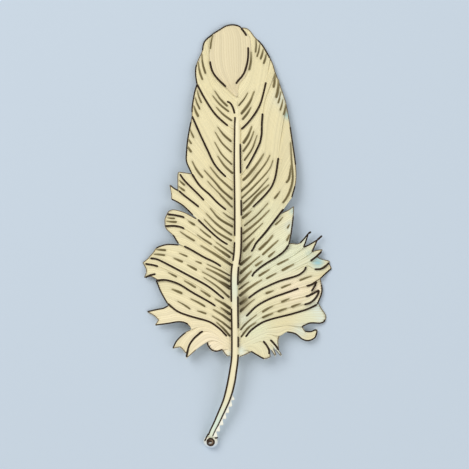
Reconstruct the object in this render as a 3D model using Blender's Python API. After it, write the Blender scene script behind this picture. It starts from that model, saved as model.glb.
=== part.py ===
"""A broad, cream contour feather lying on a surface with its hollow side down.

It is one grown piece: overlapping locks of barbs, fused to the shaft they grow from.
Frame: +Y runs from the quill to the tip, +Z is up, and the origin is under the feather's middle.
"""

import math
from typing import NamedTuple

import bmesh
import bpy
import numpy as np
from mathutils import Matrix, Vector

MM = 0.001

# The feather is drawn on a grid: x to the right, y down from above the tip to below the quill.
LENGTH = 166 * MM
GRID_TIP, GRID_END = 24, 449
GRID_STEP = LENGTH / (GRID_END - GRID_TIP)
GRID_CENTRE = (237.2, 236.5)

# The shaft lies in a low arch, and the vanes droop from it to the surface.
QUILL_Z = 1.9 * MM
TIP_Z = 0.5 * MM
ARCH = 6.5 * MM
DROOP_AT_EDGE = 7.5 * MM
WIDEST = 37 * MM
DROOP_POWER = 1.8
FLOOR_SOFTNESS = 0.2 * MM

# A lock is a thin plate, raised along its lower edge and tucked under the lock above it.
ROOT_THICKNESS = 0.95 * MM
RIM_THICKNESS = 0.6 * MM
TILE_STEP = 0.42 * MM
TUCK = 1.1 * MM
RIDGE = 0.22 * MM
ROW_LENGTH = 4.6 * MM
RIM_FADE = 3
NARROWEST_COLUMN = 0.08

# The shaft's centre line on the grid, quill end first, with its half width there in millimetres.
SHAFT = [
    (210.5, 440, 0.95),
    (213, 430, 1.0),
    (220, 414, 1.1),
    (227, 397, 1.2),
    (231.5, 375, 1.25),
    (234.5, 354, 1.25),
    (235, 330, 1.25),
    (234.6, 300, 1.3),
    (234.7, 272, 1.35),
    (237.5, 251, 1.35),
    (238, 216, 1.3),
    (237.3, 160, 1.2),
    (237.4, 118, 1.0),
    (236, 96, 0.7),
    (233, 64, 0.45),
]
SHAFT_SIDES = 10
SHAFT_RINGS = 26
SHAFT_FLATNESS = 0.85
SHAFT_RISE = 0.25 * MM

# The quill ends in a round knob with a shallow hole in its top.
KNOB_CENTRE = (210.5, 442.6)
KNOB_RADIUS = 2.45 * MM
KNOB_HEIGHT = 1.9 * MM
KNOB_Z = 1.44 * MM
HOLE_RADIUS = 1.6 * MM
HOLE_FLOOR_Z = 2.35 * MM

# The sheath fringe: pointed scales up the right side of the quill.
SCALES = 8
FRINGE_START = 393
FRINGE_END = 433
SCALE_REACH = 2.4 * MM
SCALE_ROOT = 2.5 * MM
SCALE_SWEEP = 1.6 * MM
SCALE_THICKNESS = 0.7 * MM

LEFT, RIGHT = 1, -1

# Lock edges on the grid, from the rim in to the shaft.
CAP_LEFT = [(213, 33), (210, 48), (210, 61), (214, 74), (226, 87), (236, 97)]
CAP_RIGHT = [(241, 27), (247, 37), (248, 57), (244, 73), (236, 84), (235, 96)]
LEFT_A = [(197, 84), (205, 99), (215, 114), (228, 126), (237, 131)]
LEFT_B = [(192, 116), (200, 134), (207, 149), (215, 165), (226, 177), (237.5, 185)]
LEFT_C = [(192, 174), (200, 186), (210, 195), (220, 205), (238, 219)]
TILE = [(178.5, 172), (185, 181), (199, 195), (214, 210), (238, 228)]
SPIKE = [(178, 190), (185, 196), (199, 207), (216, 222), (238, 239)]
LEFT_D = [(198, 219.5), (210, 231), (222, 241), (237.8, 250)]
FIST_TOP = [(167, 214), (177, 215.5), (186, 218.5), (202, 230), (220, 245), (237, 257)]
FIST_MID = [(165, 226), (176, 226), (186, 229.5), (204, 242), (221, 255), (236, 264)]
LEFT_G = [(178.5, 243.5), (190, 249), (204, 257), (217, 263.5), (235, 276)]
LEFT_H = [(148, 258.5), (156, 259), (167, 264), (188, 275), (208, 286), (224, 298.5), (234.6, 306)]
LEFT_H_LOW = [(143, 263.5), (158, 266.5), (180, 276), (203, 289), (221, 302), (234.6, 312)]
LEFT_I = [(156, 280.5), (166, 280), (179, 284), (193, 292.5), (213, 304), (234.7, 320)]
LEFT_J = [(167.5, 303.5), (178, 311.5), (191, 316.5), (210, 322), (221, 330), (235, 342)]
LEFT_FORK = [(191.5, 329), (197, 327), (206, 327), (216, 331.5), (234.9, 345)]
LEFT_K = [(186.5, 357), (190, 346), (198, 335.5), (206, 332.5), (218, 338), (234.8, 349)]
LEFT_LOBE = [(207, 342), (214, 340.5), (224, 344.5), (234.6, 352)]
LEFT_ROUND = [(222.2, 349), (228, 349), (234.6, 355)]
LEFT_LAST = [(230, 355.5), (234.5, 357.5)]

RIGHT_C = [(270, 57.5), (268, 70), (266, 82), (261, 102), (254, 115), (245, 126), (237.4, 132)]
RIGHT_D = [(275, 71.5), (269, 88), (264, 103), (262, 120), (261, 138), (256, 151), (246, 169), (237.5, 178)]
RIGHT_E = [(286, 103), (283, 122), (279.5, 145), (278, 160), (274, 181), (265, 195), (238, 221)]
RIGHT_F = [(283.5, 209), (274.5, 220.5), (264.7, 233), (256, 243), (251, 251.5), (236.8, 262)]
RIGHT_L = [(288.6, 245), (284, 251), (276.7, 256.7), (262.6, 265.5), (252, 275), (234.8, 287)]
FAN_1 = [(303.5, 247.2), (292, 256), (276, 264.5), (260, 275), (247, 286), (234.7, 293)]
FAN_2 = [(312, 251.8), (302, 259), (285, 268), (266, 278), (250, 290), (234.7, 298)]
FAN_3 = [(310.5, 261), (294, 269), (270, 280.5), (252, 293), (234.7, 302)]
FAN_4 = [(314.7, 269.5), (306, 265.5), (290, 273.5), (270, 282.5), (252, 294.5), (234.7, 304.5)]
RIGHT_M = [(304.5, 270), (296, 276), (280, 280.7), (266, 286.7), (248, 298), (234.6, 309)]
RIGHT_O = [(298.7, 288.2), (285, 293), (271, 298), (257, 305.5), (246, 316), (234.8, 325)]
RIGHT_N = [(305.7, 296), (290, 300), (268, 307), (250, 319), (235, 331)]
RIGHT_N_LOW = [(304.7, 304.4), (288, 308), (266, 315), (250, 325), (235, 337)]
RIGHT_P = [(317.4, 304.7), (308, 309), (293, 313.6), (270, 319.6), (257, 325.5), (235, 343)]
RIGHT_LOBE = [(302, 326.6), (286, 325.5), (268, 328.5), (252, 336), (234.9, 346.5)]
HOOK_LOW = [(279, 336), (268, 334.5), (254, 340), (234.8, 349)]
STRAND_TOP = [(278.6, 350), (274.4, 344), (268, 339), (256, 341.5), (234.7, 351)]
STRAND_MID = [(270, 344), (260, 341), (234.7, 352)]
RIGHT_FOOT = [(269.8, 352), (266.6, 344.5), (261, 341), (250, 343), (234.7, 352.5)]
RIGHT_ROUND = [(251, 351), (245, 349.5), (234.6, 355)]
RIGHT_LAST = [(239.8, 356.2), (234.5, 357.5)]


class Lock(NamedTuple):
    """One lock: its edges from the rim in, and its rim from the upper edge round to the lower one."""

    side: int
    upper: list
    rim: list
    lower: list
    upper_free: list = []
    lower_free: list = []
    level: float = 0.0
    lift: float = 0.3
    strips: int = 1


LOCKS = {
    "cap": Lock(
        LEFT,
        CAP_RIGHT,
        [(241, 27), (238.8, 25.3), (232.7, 24), (225.8, 25.3), (220, 28.8), (213, 33)],
        CAP_LEFT,
        level=0.55,
        lift=0.0,
    ),
    "left_shoulder": Lock(
        LEFT,
        CAP_LEFT,
        [(213, 33), (205.4, 39.5), (203, 45), (202, 51), (196.5, 64), (195.5, 74), (197, 84)],
        LEFT_A,
        strips=2,
    ),
    "left_a": Lock(LEFT, LEFT_A, [(197, 84), (194.6, 92), (192.3, 106), (192, 116)], LEFT_B, strips=2),
    "left_b": Lock(
        LEFT,
        LEFT_B,
        [(192, 116), (188, 137.5), (186.5, 153), (186.7, 162), (192, 174)],
        LEFT_C,
        strips=2,
    ),
    "left_c": Lock(LEFT, LEFT_C, [(192, 174), (185, 173), (178.5, 172)], TILE),
    "left_tile": Lock(LEFT, TILE, [(178.5, 172), (177.8, 176), (178, 190)], SPIKE),
    "left_spike": Lock(
        LEFT,
        SPIKE[1:],
        [(169.8, 184.9), (171.4, 193), (171.7, 199)],
        LEFT_D,
        upper_free=[(169.8, 184.9), (174.6, 188.7), (178.5, 190.6)],
        lower_free=[(171.7, 199), (181, 204), (187, 209), (193, 215)],
        lift=1.0,
    ),
    "left_fist_top": Lock(
        LEFT,
        LEFT_D,
        [(169.5, 210.8), (167, 214)],
        FIST_TOP,
        upper_free=[(169.5, 210.8), (175, 210), (185, 213), (196, 219)],
    ),
    "left_fist_mid": Lock(LEFT, FIST_TOP, [(167, 214), (165, 219), (165, 226)], FIST_MID),
    "left_fist_low": Lock(
        LEFT,
        FIST_MID,
        [(165, 226), (167, 229.7), (173, 235), (176, 239.5), (178.5, 243.5)],
        LEFT_G,
        lift=0.8,
    ),
    "left_g": Lock(
        LEFT,
        LEFT_G[1:],
        [(156, 248.3), (153.5, 252), (148, 258.5)],
        LEFT_H,
        upper_free=[(156, 248.3), (161, 246), (168, 244.5), (178.5, 245)],
        strips=3,
    ),
    "left_h": Lock(LEFT, LEFT_H, [(148, 258.5), (142.6, 263), (143, 263.5)], LEFT_H_LOW),
    "left_h_low": Lock(
        LEFT,
        LEFT_H_LOW,
        [(143, 263.5), (146.3, 270.5), (144.2, 277.6)],
        LEFT_I[1:],
        lower_free=[(144.2, 277.6), (151, 276.5), (158, 280)],
        lift=0.9,
    ),
    "left_belly": Lock(
        LEFT, LEFT_I, [(156, 280.5), (158.3, 286), (161, 292.4), (167.5, 303.5)], LEFT_J, strips=2
    ),
    "left_fork": Lock(
        LEFT,
        LEFT_J[1:],
        [(148, 311.8), (154, 315.6), (158.7, 320), (155.2, 325.2)],
        LEFT_FORK,
        upper_free=[(148, 311.8), (157, 309.7), (163, 308.5), (168, 306)],
        lower_free=[(155.2, 325.2), (168, 323.4), (181, 321.6), (188, 324)],
        lift=1.0,
    ),
    "left_k": Lock(
        LEFT,
        LEFT_FORK,
        [(172.8, 348.4), (177.4, 347.4), (181, 347.4), (186, 353)],
        LEFT_K[1:],
        upper_free=[(172.8, 348.4), (177, 340), (185, 332)],
        lower_free=[(186, 353)],
    ),
    "left_lobe": Lock(
        LEFT,
        LEFT_K,
        [(186.5, 357), (187.5, 357)],
        LEFT_LOBE,
        lower_free=[(187.5, 357), (196, 349.5)],
        lift=0.6,
    ),
    "left_round": Lock(
        LEFT, LEFT_LOBE, [(207, 342), (209, 346.5), (214.8, 351), (222.2, 349)], LEFT_ROUND
    ),
    "left_last": Lock(LEFT, LEFT_ROUND, [(222.2, 349), (226.7, 354.8), (230, 355.5)], LEFT_LAST),
    "right_shoulder": Lock(
        RIGHT,
        CAP_RIGHT,
        [(241, 27), (246.5, 27.6), (250.4, 30.7), (254.2, 36), (262, 44), (270, 57.5)],
        RIGHT_C,
        strips=2,
    ),
    "right_c": Lock(RIGHT, RIGHT_C, [(270, 57.5), (272.7, 63.4), (275, 71.5)], RIGHT_D),
    "right_d": Lock(
        RIGHT, RIGHT_D, [(275, 71.5), (278, 79), (284, 96.5), (286, 103)], RIGHT_E, strips=2
    ),
    "right_e": Lock(
        RIGHT,
        RIGHT_E,
        [(286, 103), (288.5, 116), (292, 139), (295.5, 165), (295.6, 182), (291.7, 197.5)],
        RIGHT_F,
        lower_free=[(291.7, 197.5)],
        strips=2,
    ),
    "right_spike": Lock(
        RIGHT,
        RIGHT_F[1:],
        [(293.6, 206.6), (293.2, 216), (291, 233), (288.6, 245)],
        RIGHT_L,
        upper_free=[(293.6, 206.6), (288, 210.5), (282.5, 213)],
        lift=0.7,
        strips=2,
    ),
    "right_fan_1": Lock(
        RIGHT,
        RIGHT_L[1:],
        [(308.4, 233.4), (306.3, 240), (303.5, 247.2)],
        FAN_1,
        upper_free=[(308.4, 233.4), (303, 240), (298, 244), (290, 243.5)],
    ),
    "right_fan_2": Lock(
        RIGHT,
        FAN_1[1:],
        [(317.6, 239.8), (315.5, 244.4), (312, 251.8)],
        FAN_2,
        upper_free=[(317.6, 239.8), (309, 245), (303.5, 247.2)],
    ),
    "right_fan_3": Lock(
        RIGHT,
        FAN_2[1:],
        [(322, 249.7), (322, 250.5)],
        FAN_3,
        upper_free=[(322, 249.7), (317.6, 250.4), (312, 251.8)],
        lower_free=[(322, 250.5), (317.6, 255.7)],
        lift=0.5,
    ),
    "right_fan_4": Lock(
        RIGHT,
        FAN_3,
        [(329.6, 261.3), (329.6, 262.7)],
        FAN_4,
        upper_free=[(329.6, 261.3), (321, 259), (317, 256.5)],
        lower_free=[(329.6, 262.7), (321, 268.5)],
    ),
    "right_m": Lock(
        RIGHT,
        FAN_4[1:],
        [(309, 262), (306.5, 265.5)],
        RIGHT_M,
        upper_free=[(309, 262)],
        lower_free=[(306.5, 265.5)],
    ),
    "right_flank": Lock(
        RIGHT,
        RIGHT_M[1:],
        [(329.8, 264), (331.7, 268.7), (324, 275.4), (320.4, 278.6)],
        RIGHT_O,
        upper_free=[(329.8, 264), (321, 266.5), (309, 263)],
        lower_free=[(320.4, 278.6), (311, 284.2)],
        strips=2,
    ),
    "right_barb_top": Lock(
        RIGHT,
        RIGHT_O,
        [(316, 281.7), (314.7, 286), (311.6, 292.5)],
        RIGHT_N,
        upper_free=[(316, 281.7), (308, 285)],
        lower_free=[(311.6, 292.5)],
        lift=0.5,
    ),
    "right_barb_low": Lock(
        RIGHT,
        RIGHT_N,
        [(318, 290.3), (318, 291)],
        RIGHT_N_LOW,
        upper_free=[(318, 290.3), (311.6, 293.5)],
        lower_free=[(318, 291), (312.4, 300.5)],
        lift=0.5,
    ),
    "right_back": Lock(
        RIGHT,
        RIGHT_N,
        [(320.4, 278.6), (322.3, 288.5), (321.5, 295), (317.4, 304.7)],
        RIGHT_P,
        upper_free=[(320.4, 278.6), (310, 284)],
        level=-0.5,
        lift=0.0,
    ),
    "right_lobe": Lock(
        RIGHT,
        RIGHT_P,
        [(319, 303.5), (321, 308), (326, 316), (325, 321), (321, 323.4), (310, 323.2), (302, 326.6)],
        RIGHT_LOBE,
        lift=0.6,
    ),
    "right_hook": Lock(
        RIGHT,
        RIGHT_LOBE[1:],
        [(316, 329.8), (317.2, 331), (317, 333)],
        HOOK_LOW,
        upper_free=[(316, 329.8), (311, 332), (305, 331.5), (302, 327)],
        lower_free=[(317, 333), (315, 338), (308.5, 340.8), (302, 339), (295.5, 333.7), (287, 331.8)],
        lift=0.8,
    ),
    "right_hook_root": Lock(RIGHT, HOOK_LOW, [(279, 336), (277.8, 341), (278.6, 350)], STRAND_TOP),
    "strand_long": Lock(
        RIGHT,
        STRAND_TOP[1:],
        [(281.3, 354.4), (280.3, 355.2)],
        STRAND_MID,
        upper_free=[(281.3, 354.4), (278.6, 350)],
        lower_free=[(280.3, 355.2), (275.5, 349.5)],
    ),
    "strand_short": Lock(
        RIGHT,
        STRAND_MID,
        [(275.6, 354.4), (274.6, 355)],
        RIGHT_FOOT[2:],
        upper_free=[(275.6, 354.4), (273.4, 348.5)],
        lower_free=[(274.6, 355), (271.5, 350)],
    ),
    "right_foot": Lock(
        RIGHT,
        RIGHT_FOOT,
        [(269.8, 352), (270.2, 356.8), (264, 358.3), (257, 354.5), (251, 351)],
        RIGHT_ROUND,
        lift=0.5,
    ),
    "right_last": Lock(RIGHT, RIGHT_ROUND, [(251, 351), (246, 353.6), (239.8, 356.2)], RIGHT_LAST),
}


def clear_scene():
    for obj in list(bpy.data.objects):
        bpy.data.objects.remove(obj, do_unlink=True)


def from_grid(points):
    """Grid points as an array of metres in the feather's own frame."""
    grid = np.asarray(points, float)[:, :2]
    return (grid - GRID_CENTRE) * (GRID_STEP, -GRID_STEP)


def smooth_curve(points, per_span=8):
    """A Catmull-Rom curve through the points, as a finer list of points."""
    points = np.asarray(points, float)
    if len(points) < 3:
        return points
    padded = np.vstack([2 * points[0] - points[1], points, 2 * points[-1] - points[-2]])
    steps = np.linspace(0, 1, per_span, endpoint=False)[:, None]
    spans = []
    for before, start, end, after in zip(padded, padded[1:], padded[2:], padded[3:]):
        spans.append(
            start
            + 0.5 * steps * (end - before)
            + steps**2 * (before - 2.5 * start + 2 * end - 0.5 * after)
            + steps**3 * (1.5 * start - 0.5 * before - 1.5 * end + 0.5 * after)
        )
    return np.vstack(spans + [points[-1:]])


def length_along(points):
    """The distance from the first point to each point, along the line."""
    return np.concatenate([[0], np.cumsum(np.linalg.norm(np.diff(points, axis=0), axis=1))])


def along(points, fractions):
    """The points at these fractions of a line's length."""
    run = length_along(points)
    wanted = np.asarray(fractions) * run[-1]
    return np.column_stack([np.interp(wanted, run, column) for column in points.T])


def tucked(points, side):
    """A shared edge moved under the lock above it, except where it meets the rim or the shaft."""
    direction = np.gradient(points, axis=0)
    across = np.column_stack([-direction[:, 1], direction[:, 0]]) * side
    across /= np.linalg.norm(across, axis=1)[:, None]
    share = np.interp(length_along(points), [0, 2.5 * TUCK], [0, 1])[:, None]
    return points + across * share * TUCK


SHAFT_LINE = smooth_curve(from_grid(SHAFT))
SHAFT_LINE_UP = SHAFT_LINE[np.argsort(SHAFT_LINE[:, 1])]


def shaft_z(y):
    """Height of the shaft's middle: a low arch from the quill's end to the tip."""
    part = np.clip(y / LENGTH + 0.5, 0, 1)
    return QUILL_Z + (TIP_Z - QUILL_Z) * part + ARCH * 4 * part * (1 - part)


def vane_z(x, y):
    """Height of the vane's mid surface, which droops from the shaft to each side."""
    shaft_x = np.interp(y, SHAFT_LINE_UP[:, 1], SHAFT_LINE_UP[:, 0])
    away = np.abs(x - shaft_x) / WIDEST
    return shaft_z(y) - DROOP_AT_EDGE * away**DROOP_POWER


def above_floor(z):
    """Raises what would sink below the surface, without a kink."""
    return FLOOR_SOFTNESS * np.logaddexp(0, z / FLOOR_SOFTNESS)


def lock_edges(lock):
    """The lock's upper edge, rim and lower edge in metres. The edges run from the shaft out."""
    shared = from_grid(lock.upper)
    if lock.upper_free:
        run_in = tucked(np.vstack([from_grid(lock.upper_free)[-1:], shared]), lock.side)[1:]
        upper = np.vstack([from_grid(lock.upper_free), run_in])
    else:
        upper = tucked(shared, lock.side)
    lower = from_grid(list(lock.lower_free) + list(lock.lower))
    return smooth_curve(upper)[::-1], from_grid(lock.rim), smooth_curve(lower)[::-1]


def columns_of(lock, rim):
    """Fractions across the lock, from its lower edge to its upper one, that hold its grid lines."""
    corners = 1 - length_along(rim) / length_along(rim)[-1]
    ridges = np.linspace(0, 1, 2 * lock.strips + 1)
    wanted = np.concatenate([corners, ridges])
    kept = []
    for fraction in wanted:
        if all(abs(fraction - other) > NARROWEST_COLUMN for other in kept):
            kept.append(fraction)
    return np.sort(kept)


def lock_surface(lock):
    """The lock's mid surface as a grid of points: rows from the shaft out, columns across."""
    upper, rim, lower = lock_edges(lock)
    reach = max(length_along(upper)[-1], length_along(lower)[-1])
    rows = int(np.clip(round(reach / ROW_LENGTH), 3, 9))
    out = np.linspace(0, 1, rows + 1)
    across = columns_of(lock, rim)
    low, high = along(lower, out), along(upper, out)
    edge = along(rim, 1 - across)
    straight_edge = low[-1] + across[:, None] * (high[-1] - low[-1])
    flat = low[:, None] + across[None, :, None] * (high - low)[:, None]
    flat = flat + (out**RIM_FADE)[:, None, None] * (edge - straight_edge)[None]
    fold = np.abs((across * lock.strips) % 1 - 0.5) * 2
    z = vane_z(flat[..., 0], flat[..., 1]) + lock.level * MM
    z = z + TILE_STEP * (0.5 - across)[None] + RIDGE * (0.5 - fold)[None]
    z = z + lock.lift * MM * (1 - across)[None] * (out**2)[:, None]
    thickness = ROOT_THICKNESS + (RIM_THICKNESS - ROOT_THICKNESS) * out
    return np.dstack([flat, z]), thickness


def border_pairs(rows, columns):
    """Each pair of neighbouring places on a grid's border, in order round it."""
    start_row = [(0, column) for column in range(columns)]
    last_column = [(row, columns - 1) for row in range(1, rows)]
    end_row = [(rows - 1, column) for column in reversed(range(columns - 1))]
    first_column = [(row, 0) for row in range(rows - 2, 0, -1)]
    border = start_row + last_column + end_row + first_column
    return zip(border, border[1:] + border[:1])


def lock_plate(name, lock):
    """A closed thin plate round the lock's mid surface."""
    surface, thickness = lock_surface(lock)
    rows, columns = surface.shape[:2]
    bottom = surface.copy()
    bottom[..., 2] = above_floor(surface[..., 2] - thickness[:, None] / 2)
    top = bottom.copy()
    top[..., 2] += thickness[:, None]
    mesh = bmesh.new()
    above = [[mesh.verts.new(point) for point in row] for row in top]
    below = [[mesh.verts.new(point) for point in row] for row in bottom]
    for row in range(rows - 1):
        for column in range(columns - 1):
            around = [(row, column), (row, column + 1), (row + 1, column + 1), (row + 1, column)]
            mesh.faces.new([above[r][c] for r, c in around])
            mesh.faces.new([below[r][c] for r, c in reversed(around)])
    for (r0, c0), (r1, c1) in border_pairs(rows, columns):
        mesh.faces.new([above[r0][c0], above[r1][c1], below[r1][c1], below[r0][c0]])
    bmesh.ops.recalc_face_normals(mesh, faces=mesh.faces)
    return to_object(name, mesh)


def to_object(name, mesh):
    data = bpy.data.meshes.new(name)
    mesh.to_mesh(data)
    mesh.free()
    return bpy.data.objects.new(name, data)


def shaft_rings():
    """Centre and half width of each ring of the shaft, quill end first."""
    fractions = np.linspace(0, 1, SHAFT_RINGS)
    centres = along(SHAFT_LINE, fractions)
    at_points = length_along(from_grid(SHAFT))
    half_widths = np.interp(fractions * at_points[-1], at_points, [row[2] for row in SHAFT])
    return centres, half_widths * MM


def make_shaft():
    """The shaft: a tapering tube of oval rings along the arch."""
    centres, half_widths = shaft_rings()
    mesh = bmesh.new()
    rings = []
    tangents = np.gradient(centres, axis=0)
    turns = [2 * math.pi * side / SHAFT_SIDES for side in range(SHAFT_SIDES)]
    for (x, y), tangent, half in zip(centres, tangents, half_widths):
        across = np.array([tangent[1], -tangent[0]]) / np.linalg.norm(tangent)
        middle = shaft_z(y) + SHAFT_RISE
        ring = []
        for turn in turns:
            flat = np.array([x, y]) + across * half * math.cos(turn)
            ring.append(mesh.verts.new((*flat, middle + SHAFT_FLATNESS * half * math.sin(turn))))
        rings.append(ring)
    for ring, following in zip(rings, rings[1:]):
        for side in range(SHAFT_SIDES):
            nxt = (side + 1) % SHAFT_SIDES
            mesh.faces.new([ring[side], ring[nxt], following[nxt], following[side]])
    mesh.faces.new(reversed(rings[0]))
    mesh.faces.new(rings[-1])
    bmesh.ops.recalc_face_normals(mesh, faces=mesh.faces)
    return to_object("feather", mesh)


def make_knob():
    """The quill's rounded end, flat underneath where it rests."""
    mesh = bmesh.new()
    centre = from_grid([KNOB_CENTRE])[0]
    bmesh.ops.create_uvsphere(mesh, u_segments=16, v_segments=9, radius=1)
    for vert in mesh.verts:
        flat = centre + KNOB_RADIUS * np.array(vert.co.xy)
        vert.co = (*flat, max(KNOB_Z + KNOB_HEIGHT * vert.co.z, 0))
    bmesh.ops.dissolve_limit(mesh, angle_limit=0.001, verts=mesh.verts, edges=mesh.edges)
    bmesh.ops.recalc_face_normals(mesh, faces=mesh.faces)
    return to_object("knob", mesh)


def make_hole():
    """The cutter for the hole in the knob's top."""
    centre = from_grid([KNOB_CENTRE])[0]
    mesh = bmesh.new()
    bmesh.ops.create_cone(
        mesh,
        cap_ends=True,
        segments=14,
        radius1=HOLE_RADIUS,
        radius2=HOLE_RADIUS,
        depth=KNOB_HEIGHT,
        matrix=Matrix.Translation((*centre, HOLE_FLOOR_Z + KNOB_HEIGHT / 2)),
    )
    return to_object("knob_hole", mesh)


def make_scale(index):
    """One pointed scale of the sheath fringe: its root in the quill, its point swept to the quill's end."""
    centres, half_widths = shaft_rings()
    y_up = from_grid([(0, FRINGE_START + (FRINGE_END - FRINGE_START) * index / (SCALES - 1))])[0, 1]
    x = np.interp(y_up, centres[:, 1], centres[:, 0])
    slope = np.interp(y_up + SCALE_ROOT, centres[:, 1], centres[:, 0]) - x
    down = -Vector((slope, SCALE_ROOT, 0)).normalized()
    out = Vector((-down.y, down.x, 0))
    root = Vector((x, y_up, shaft_z(y_up) + SHAFT_RISE))
    corners = [
        root - down * SCALE_ROOT / 2,
        root + down * SCALE_ROOT / 2,
        root + down * SCALE_SWEEP + out * SCALE_REACH,
    ]
    lift = Vector((0, 0, SCALE_THICKNESS / 2))
    mesh = bmesh.new()
    above = [mesh.verts.new(corner + lift) for corner in corners]
    below = [mesh.verts.new(corner - lift) for corner in corners]
    mesh.faces.new(above)
    mesh.faces.new(reversed(below))
    for first in range(3):
        second = (first + 1) % 3
        mesh.faces.new([above[first], below[first], below[second], above[second]])
    bmesh.ops.recalc_face_normals(mesh, faces=mesh.faces)
    return to_object(f"scale_{index + 1}", mesh)


def keratin():
    """The cream, slightly glossy horn that the whole feather is made of."""
    material = bpy.data.materials.new("Cream feather keratin")
    material.use_nodes = True
    shader = material.node_tree.nodes["Principled BSDF"]
    shader.inputs["Base Color"].default_value = (0.87, 0.78, 0.50, 1)
    shader.inputs["Roughness"].default_value = 0.6
    shader.inputs["Metallic"].default_value = 0
    return material


def add_boolean(obj, name, operation, collection):
    modifier = obj.modifiers.new(name, "BOOLEAN")
    modifier.operation = operation
    modifier.solver = "EXACT"
    modifier.operand_type = "COLLECTION"
    modifier.collection = collection


def helper_collection(name, objects):
    """A collection of shapes that only Booleans use."""
    collection = bpy.data.collections.new(name)
    collection.hide_render = True
    bpy.context.scene.collection.children.link(collection)
    for obj in objects:
        obj.hide_render = True
        obj.display_type = "WIRE"
        collection.objects.link(obj)
    return collection


def make_feather():
    """The shaft with its locks, fringe and knob fused to it, and the hole cut in the knob."""
    feather = make_shaft()
    bpy.context.scene.collection.objects.link(feather)
    feather.data.materials.append(keratin())
    plates = [lock_plate(f"lock_{name}", lock) for name, lock in LOCKS.items()]
    scales = [make_scale(index) for index in range(SCALES)]
    grown = helper_collection("grown_shapes", [*plates, *scales, make_knob()])
    cuts = helper_collection("cut_shapes", [make_hole()])
    add_boolean(feather, "Fuse", "UNION", grown)
    add_boolean(feather, "Hole", "DIFFERENCE", cuts)
    return feather


def main():
    clear_scene()
    make_feather()


main()
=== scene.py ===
"""The looks of a cream contour feather that lies on a surface, outer face up.

The file is laid out as an add-on: one operator for each group of pieces, and a panel that lists them.
"""

import math
from typing import NamedTuple

import bmesh
import bpy
import numpy as np
from bpy.props import FloatProperty, FloatVectorProperty, PointerProperty
from mathutils import Matrix, Vector
from mathutils.bvhtree import BVHTree
from mathutils.kdtree import KDTree


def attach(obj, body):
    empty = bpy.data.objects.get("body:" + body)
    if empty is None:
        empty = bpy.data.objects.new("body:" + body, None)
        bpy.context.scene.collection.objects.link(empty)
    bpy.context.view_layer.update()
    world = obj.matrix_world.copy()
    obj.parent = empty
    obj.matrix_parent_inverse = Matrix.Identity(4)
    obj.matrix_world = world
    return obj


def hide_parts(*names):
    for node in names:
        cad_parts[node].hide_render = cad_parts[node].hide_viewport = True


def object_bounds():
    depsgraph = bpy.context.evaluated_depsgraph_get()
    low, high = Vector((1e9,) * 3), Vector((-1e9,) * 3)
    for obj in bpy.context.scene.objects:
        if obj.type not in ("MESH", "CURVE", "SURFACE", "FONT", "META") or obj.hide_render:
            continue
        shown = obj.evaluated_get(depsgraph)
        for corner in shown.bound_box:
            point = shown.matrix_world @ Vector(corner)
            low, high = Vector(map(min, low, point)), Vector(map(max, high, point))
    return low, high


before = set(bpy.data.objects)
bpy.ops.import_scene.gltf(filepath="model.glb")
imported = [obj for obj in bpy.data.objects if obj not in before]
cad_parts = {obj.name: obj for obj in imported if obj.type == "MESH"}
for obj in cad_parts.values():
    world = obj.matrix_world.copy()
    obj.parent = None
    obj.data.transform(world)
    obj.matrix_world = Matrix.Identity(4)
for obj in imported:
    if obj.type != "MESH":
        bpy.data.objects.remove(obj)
CAD_LOW, CAD_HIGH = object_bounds()

bl_info = {
    "name": "Contour feather",
    "version": (1, 0, 0),
    "blender": (4, 5, 0),
    "location": "View3D > Sidebar > Feather",
    "description": "Builds a cream contour feather out of locks of barbs",
    "category": "Mesh",
}

MM = 0.001
BODY = "root"
NODE = "feather"

# The feather is drawn on a grid: x to the right, y down from above the tip to below the quill.
LENGTH = 166 * MM
GRID_TIP, GRID_END = 24, 449
GRID_STEP = LENGTH / (GRID_END - GRID_TIP)
GRID_CENTRE = (237.2, 236.5)

# The shaft lies in a low arch, and the vanes droop from it to the surface.
QUILL_Z = 1.9 * MM
TIP_Z = 0.5 * MM
ARCH = 6.5 * MM
DROOP_AT_EDGE = 7.5 * MM
WIDEST = 37 * MM
DROOP_POWER = 1.8
FLOOR_SOFTNESS = 0.2 * MM

# A lock is raised along its lower edge and tucked under the lock above it.
ROOT_DEPTH = 0.95 * MM
RIM_DEPTH = 0.6 * MM
LIE_IN_DEPTH = 0.35
TILE_STEP = 0.42 * MM
TUCK = 1.1 * MM
TUCK_RUN = 2.5 * TUCK
CREASE = 0.22 * MM
RIM_FADE = 3

# A rim that turns by more than this many radians at a point has a corner there.
SHARP_TURN = 0.85

# How finely a lock is divided: faces across one barb, and their length along it.
COLUMNS_PER_BARB = 4
ROW_LENGTH = 0.8 * MM
FEWEST_ROWS, MOST_ROWS = 12, 70

# Barbs differ in height and in the depth of the notch beside them, and a few notches are torn deep.
HEIGHT_RANGE = (0.75, 1.25)
NOTCH_RANGE = (0.3, 1.0)
TORN_SHARE = 0.05
TORN_RANGE = (2.5, 5.0)
CORNER_NOTCH = 0.3
DEEPEST_NOTCH = 0.14
NOTCH_FADE = 7

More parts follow.
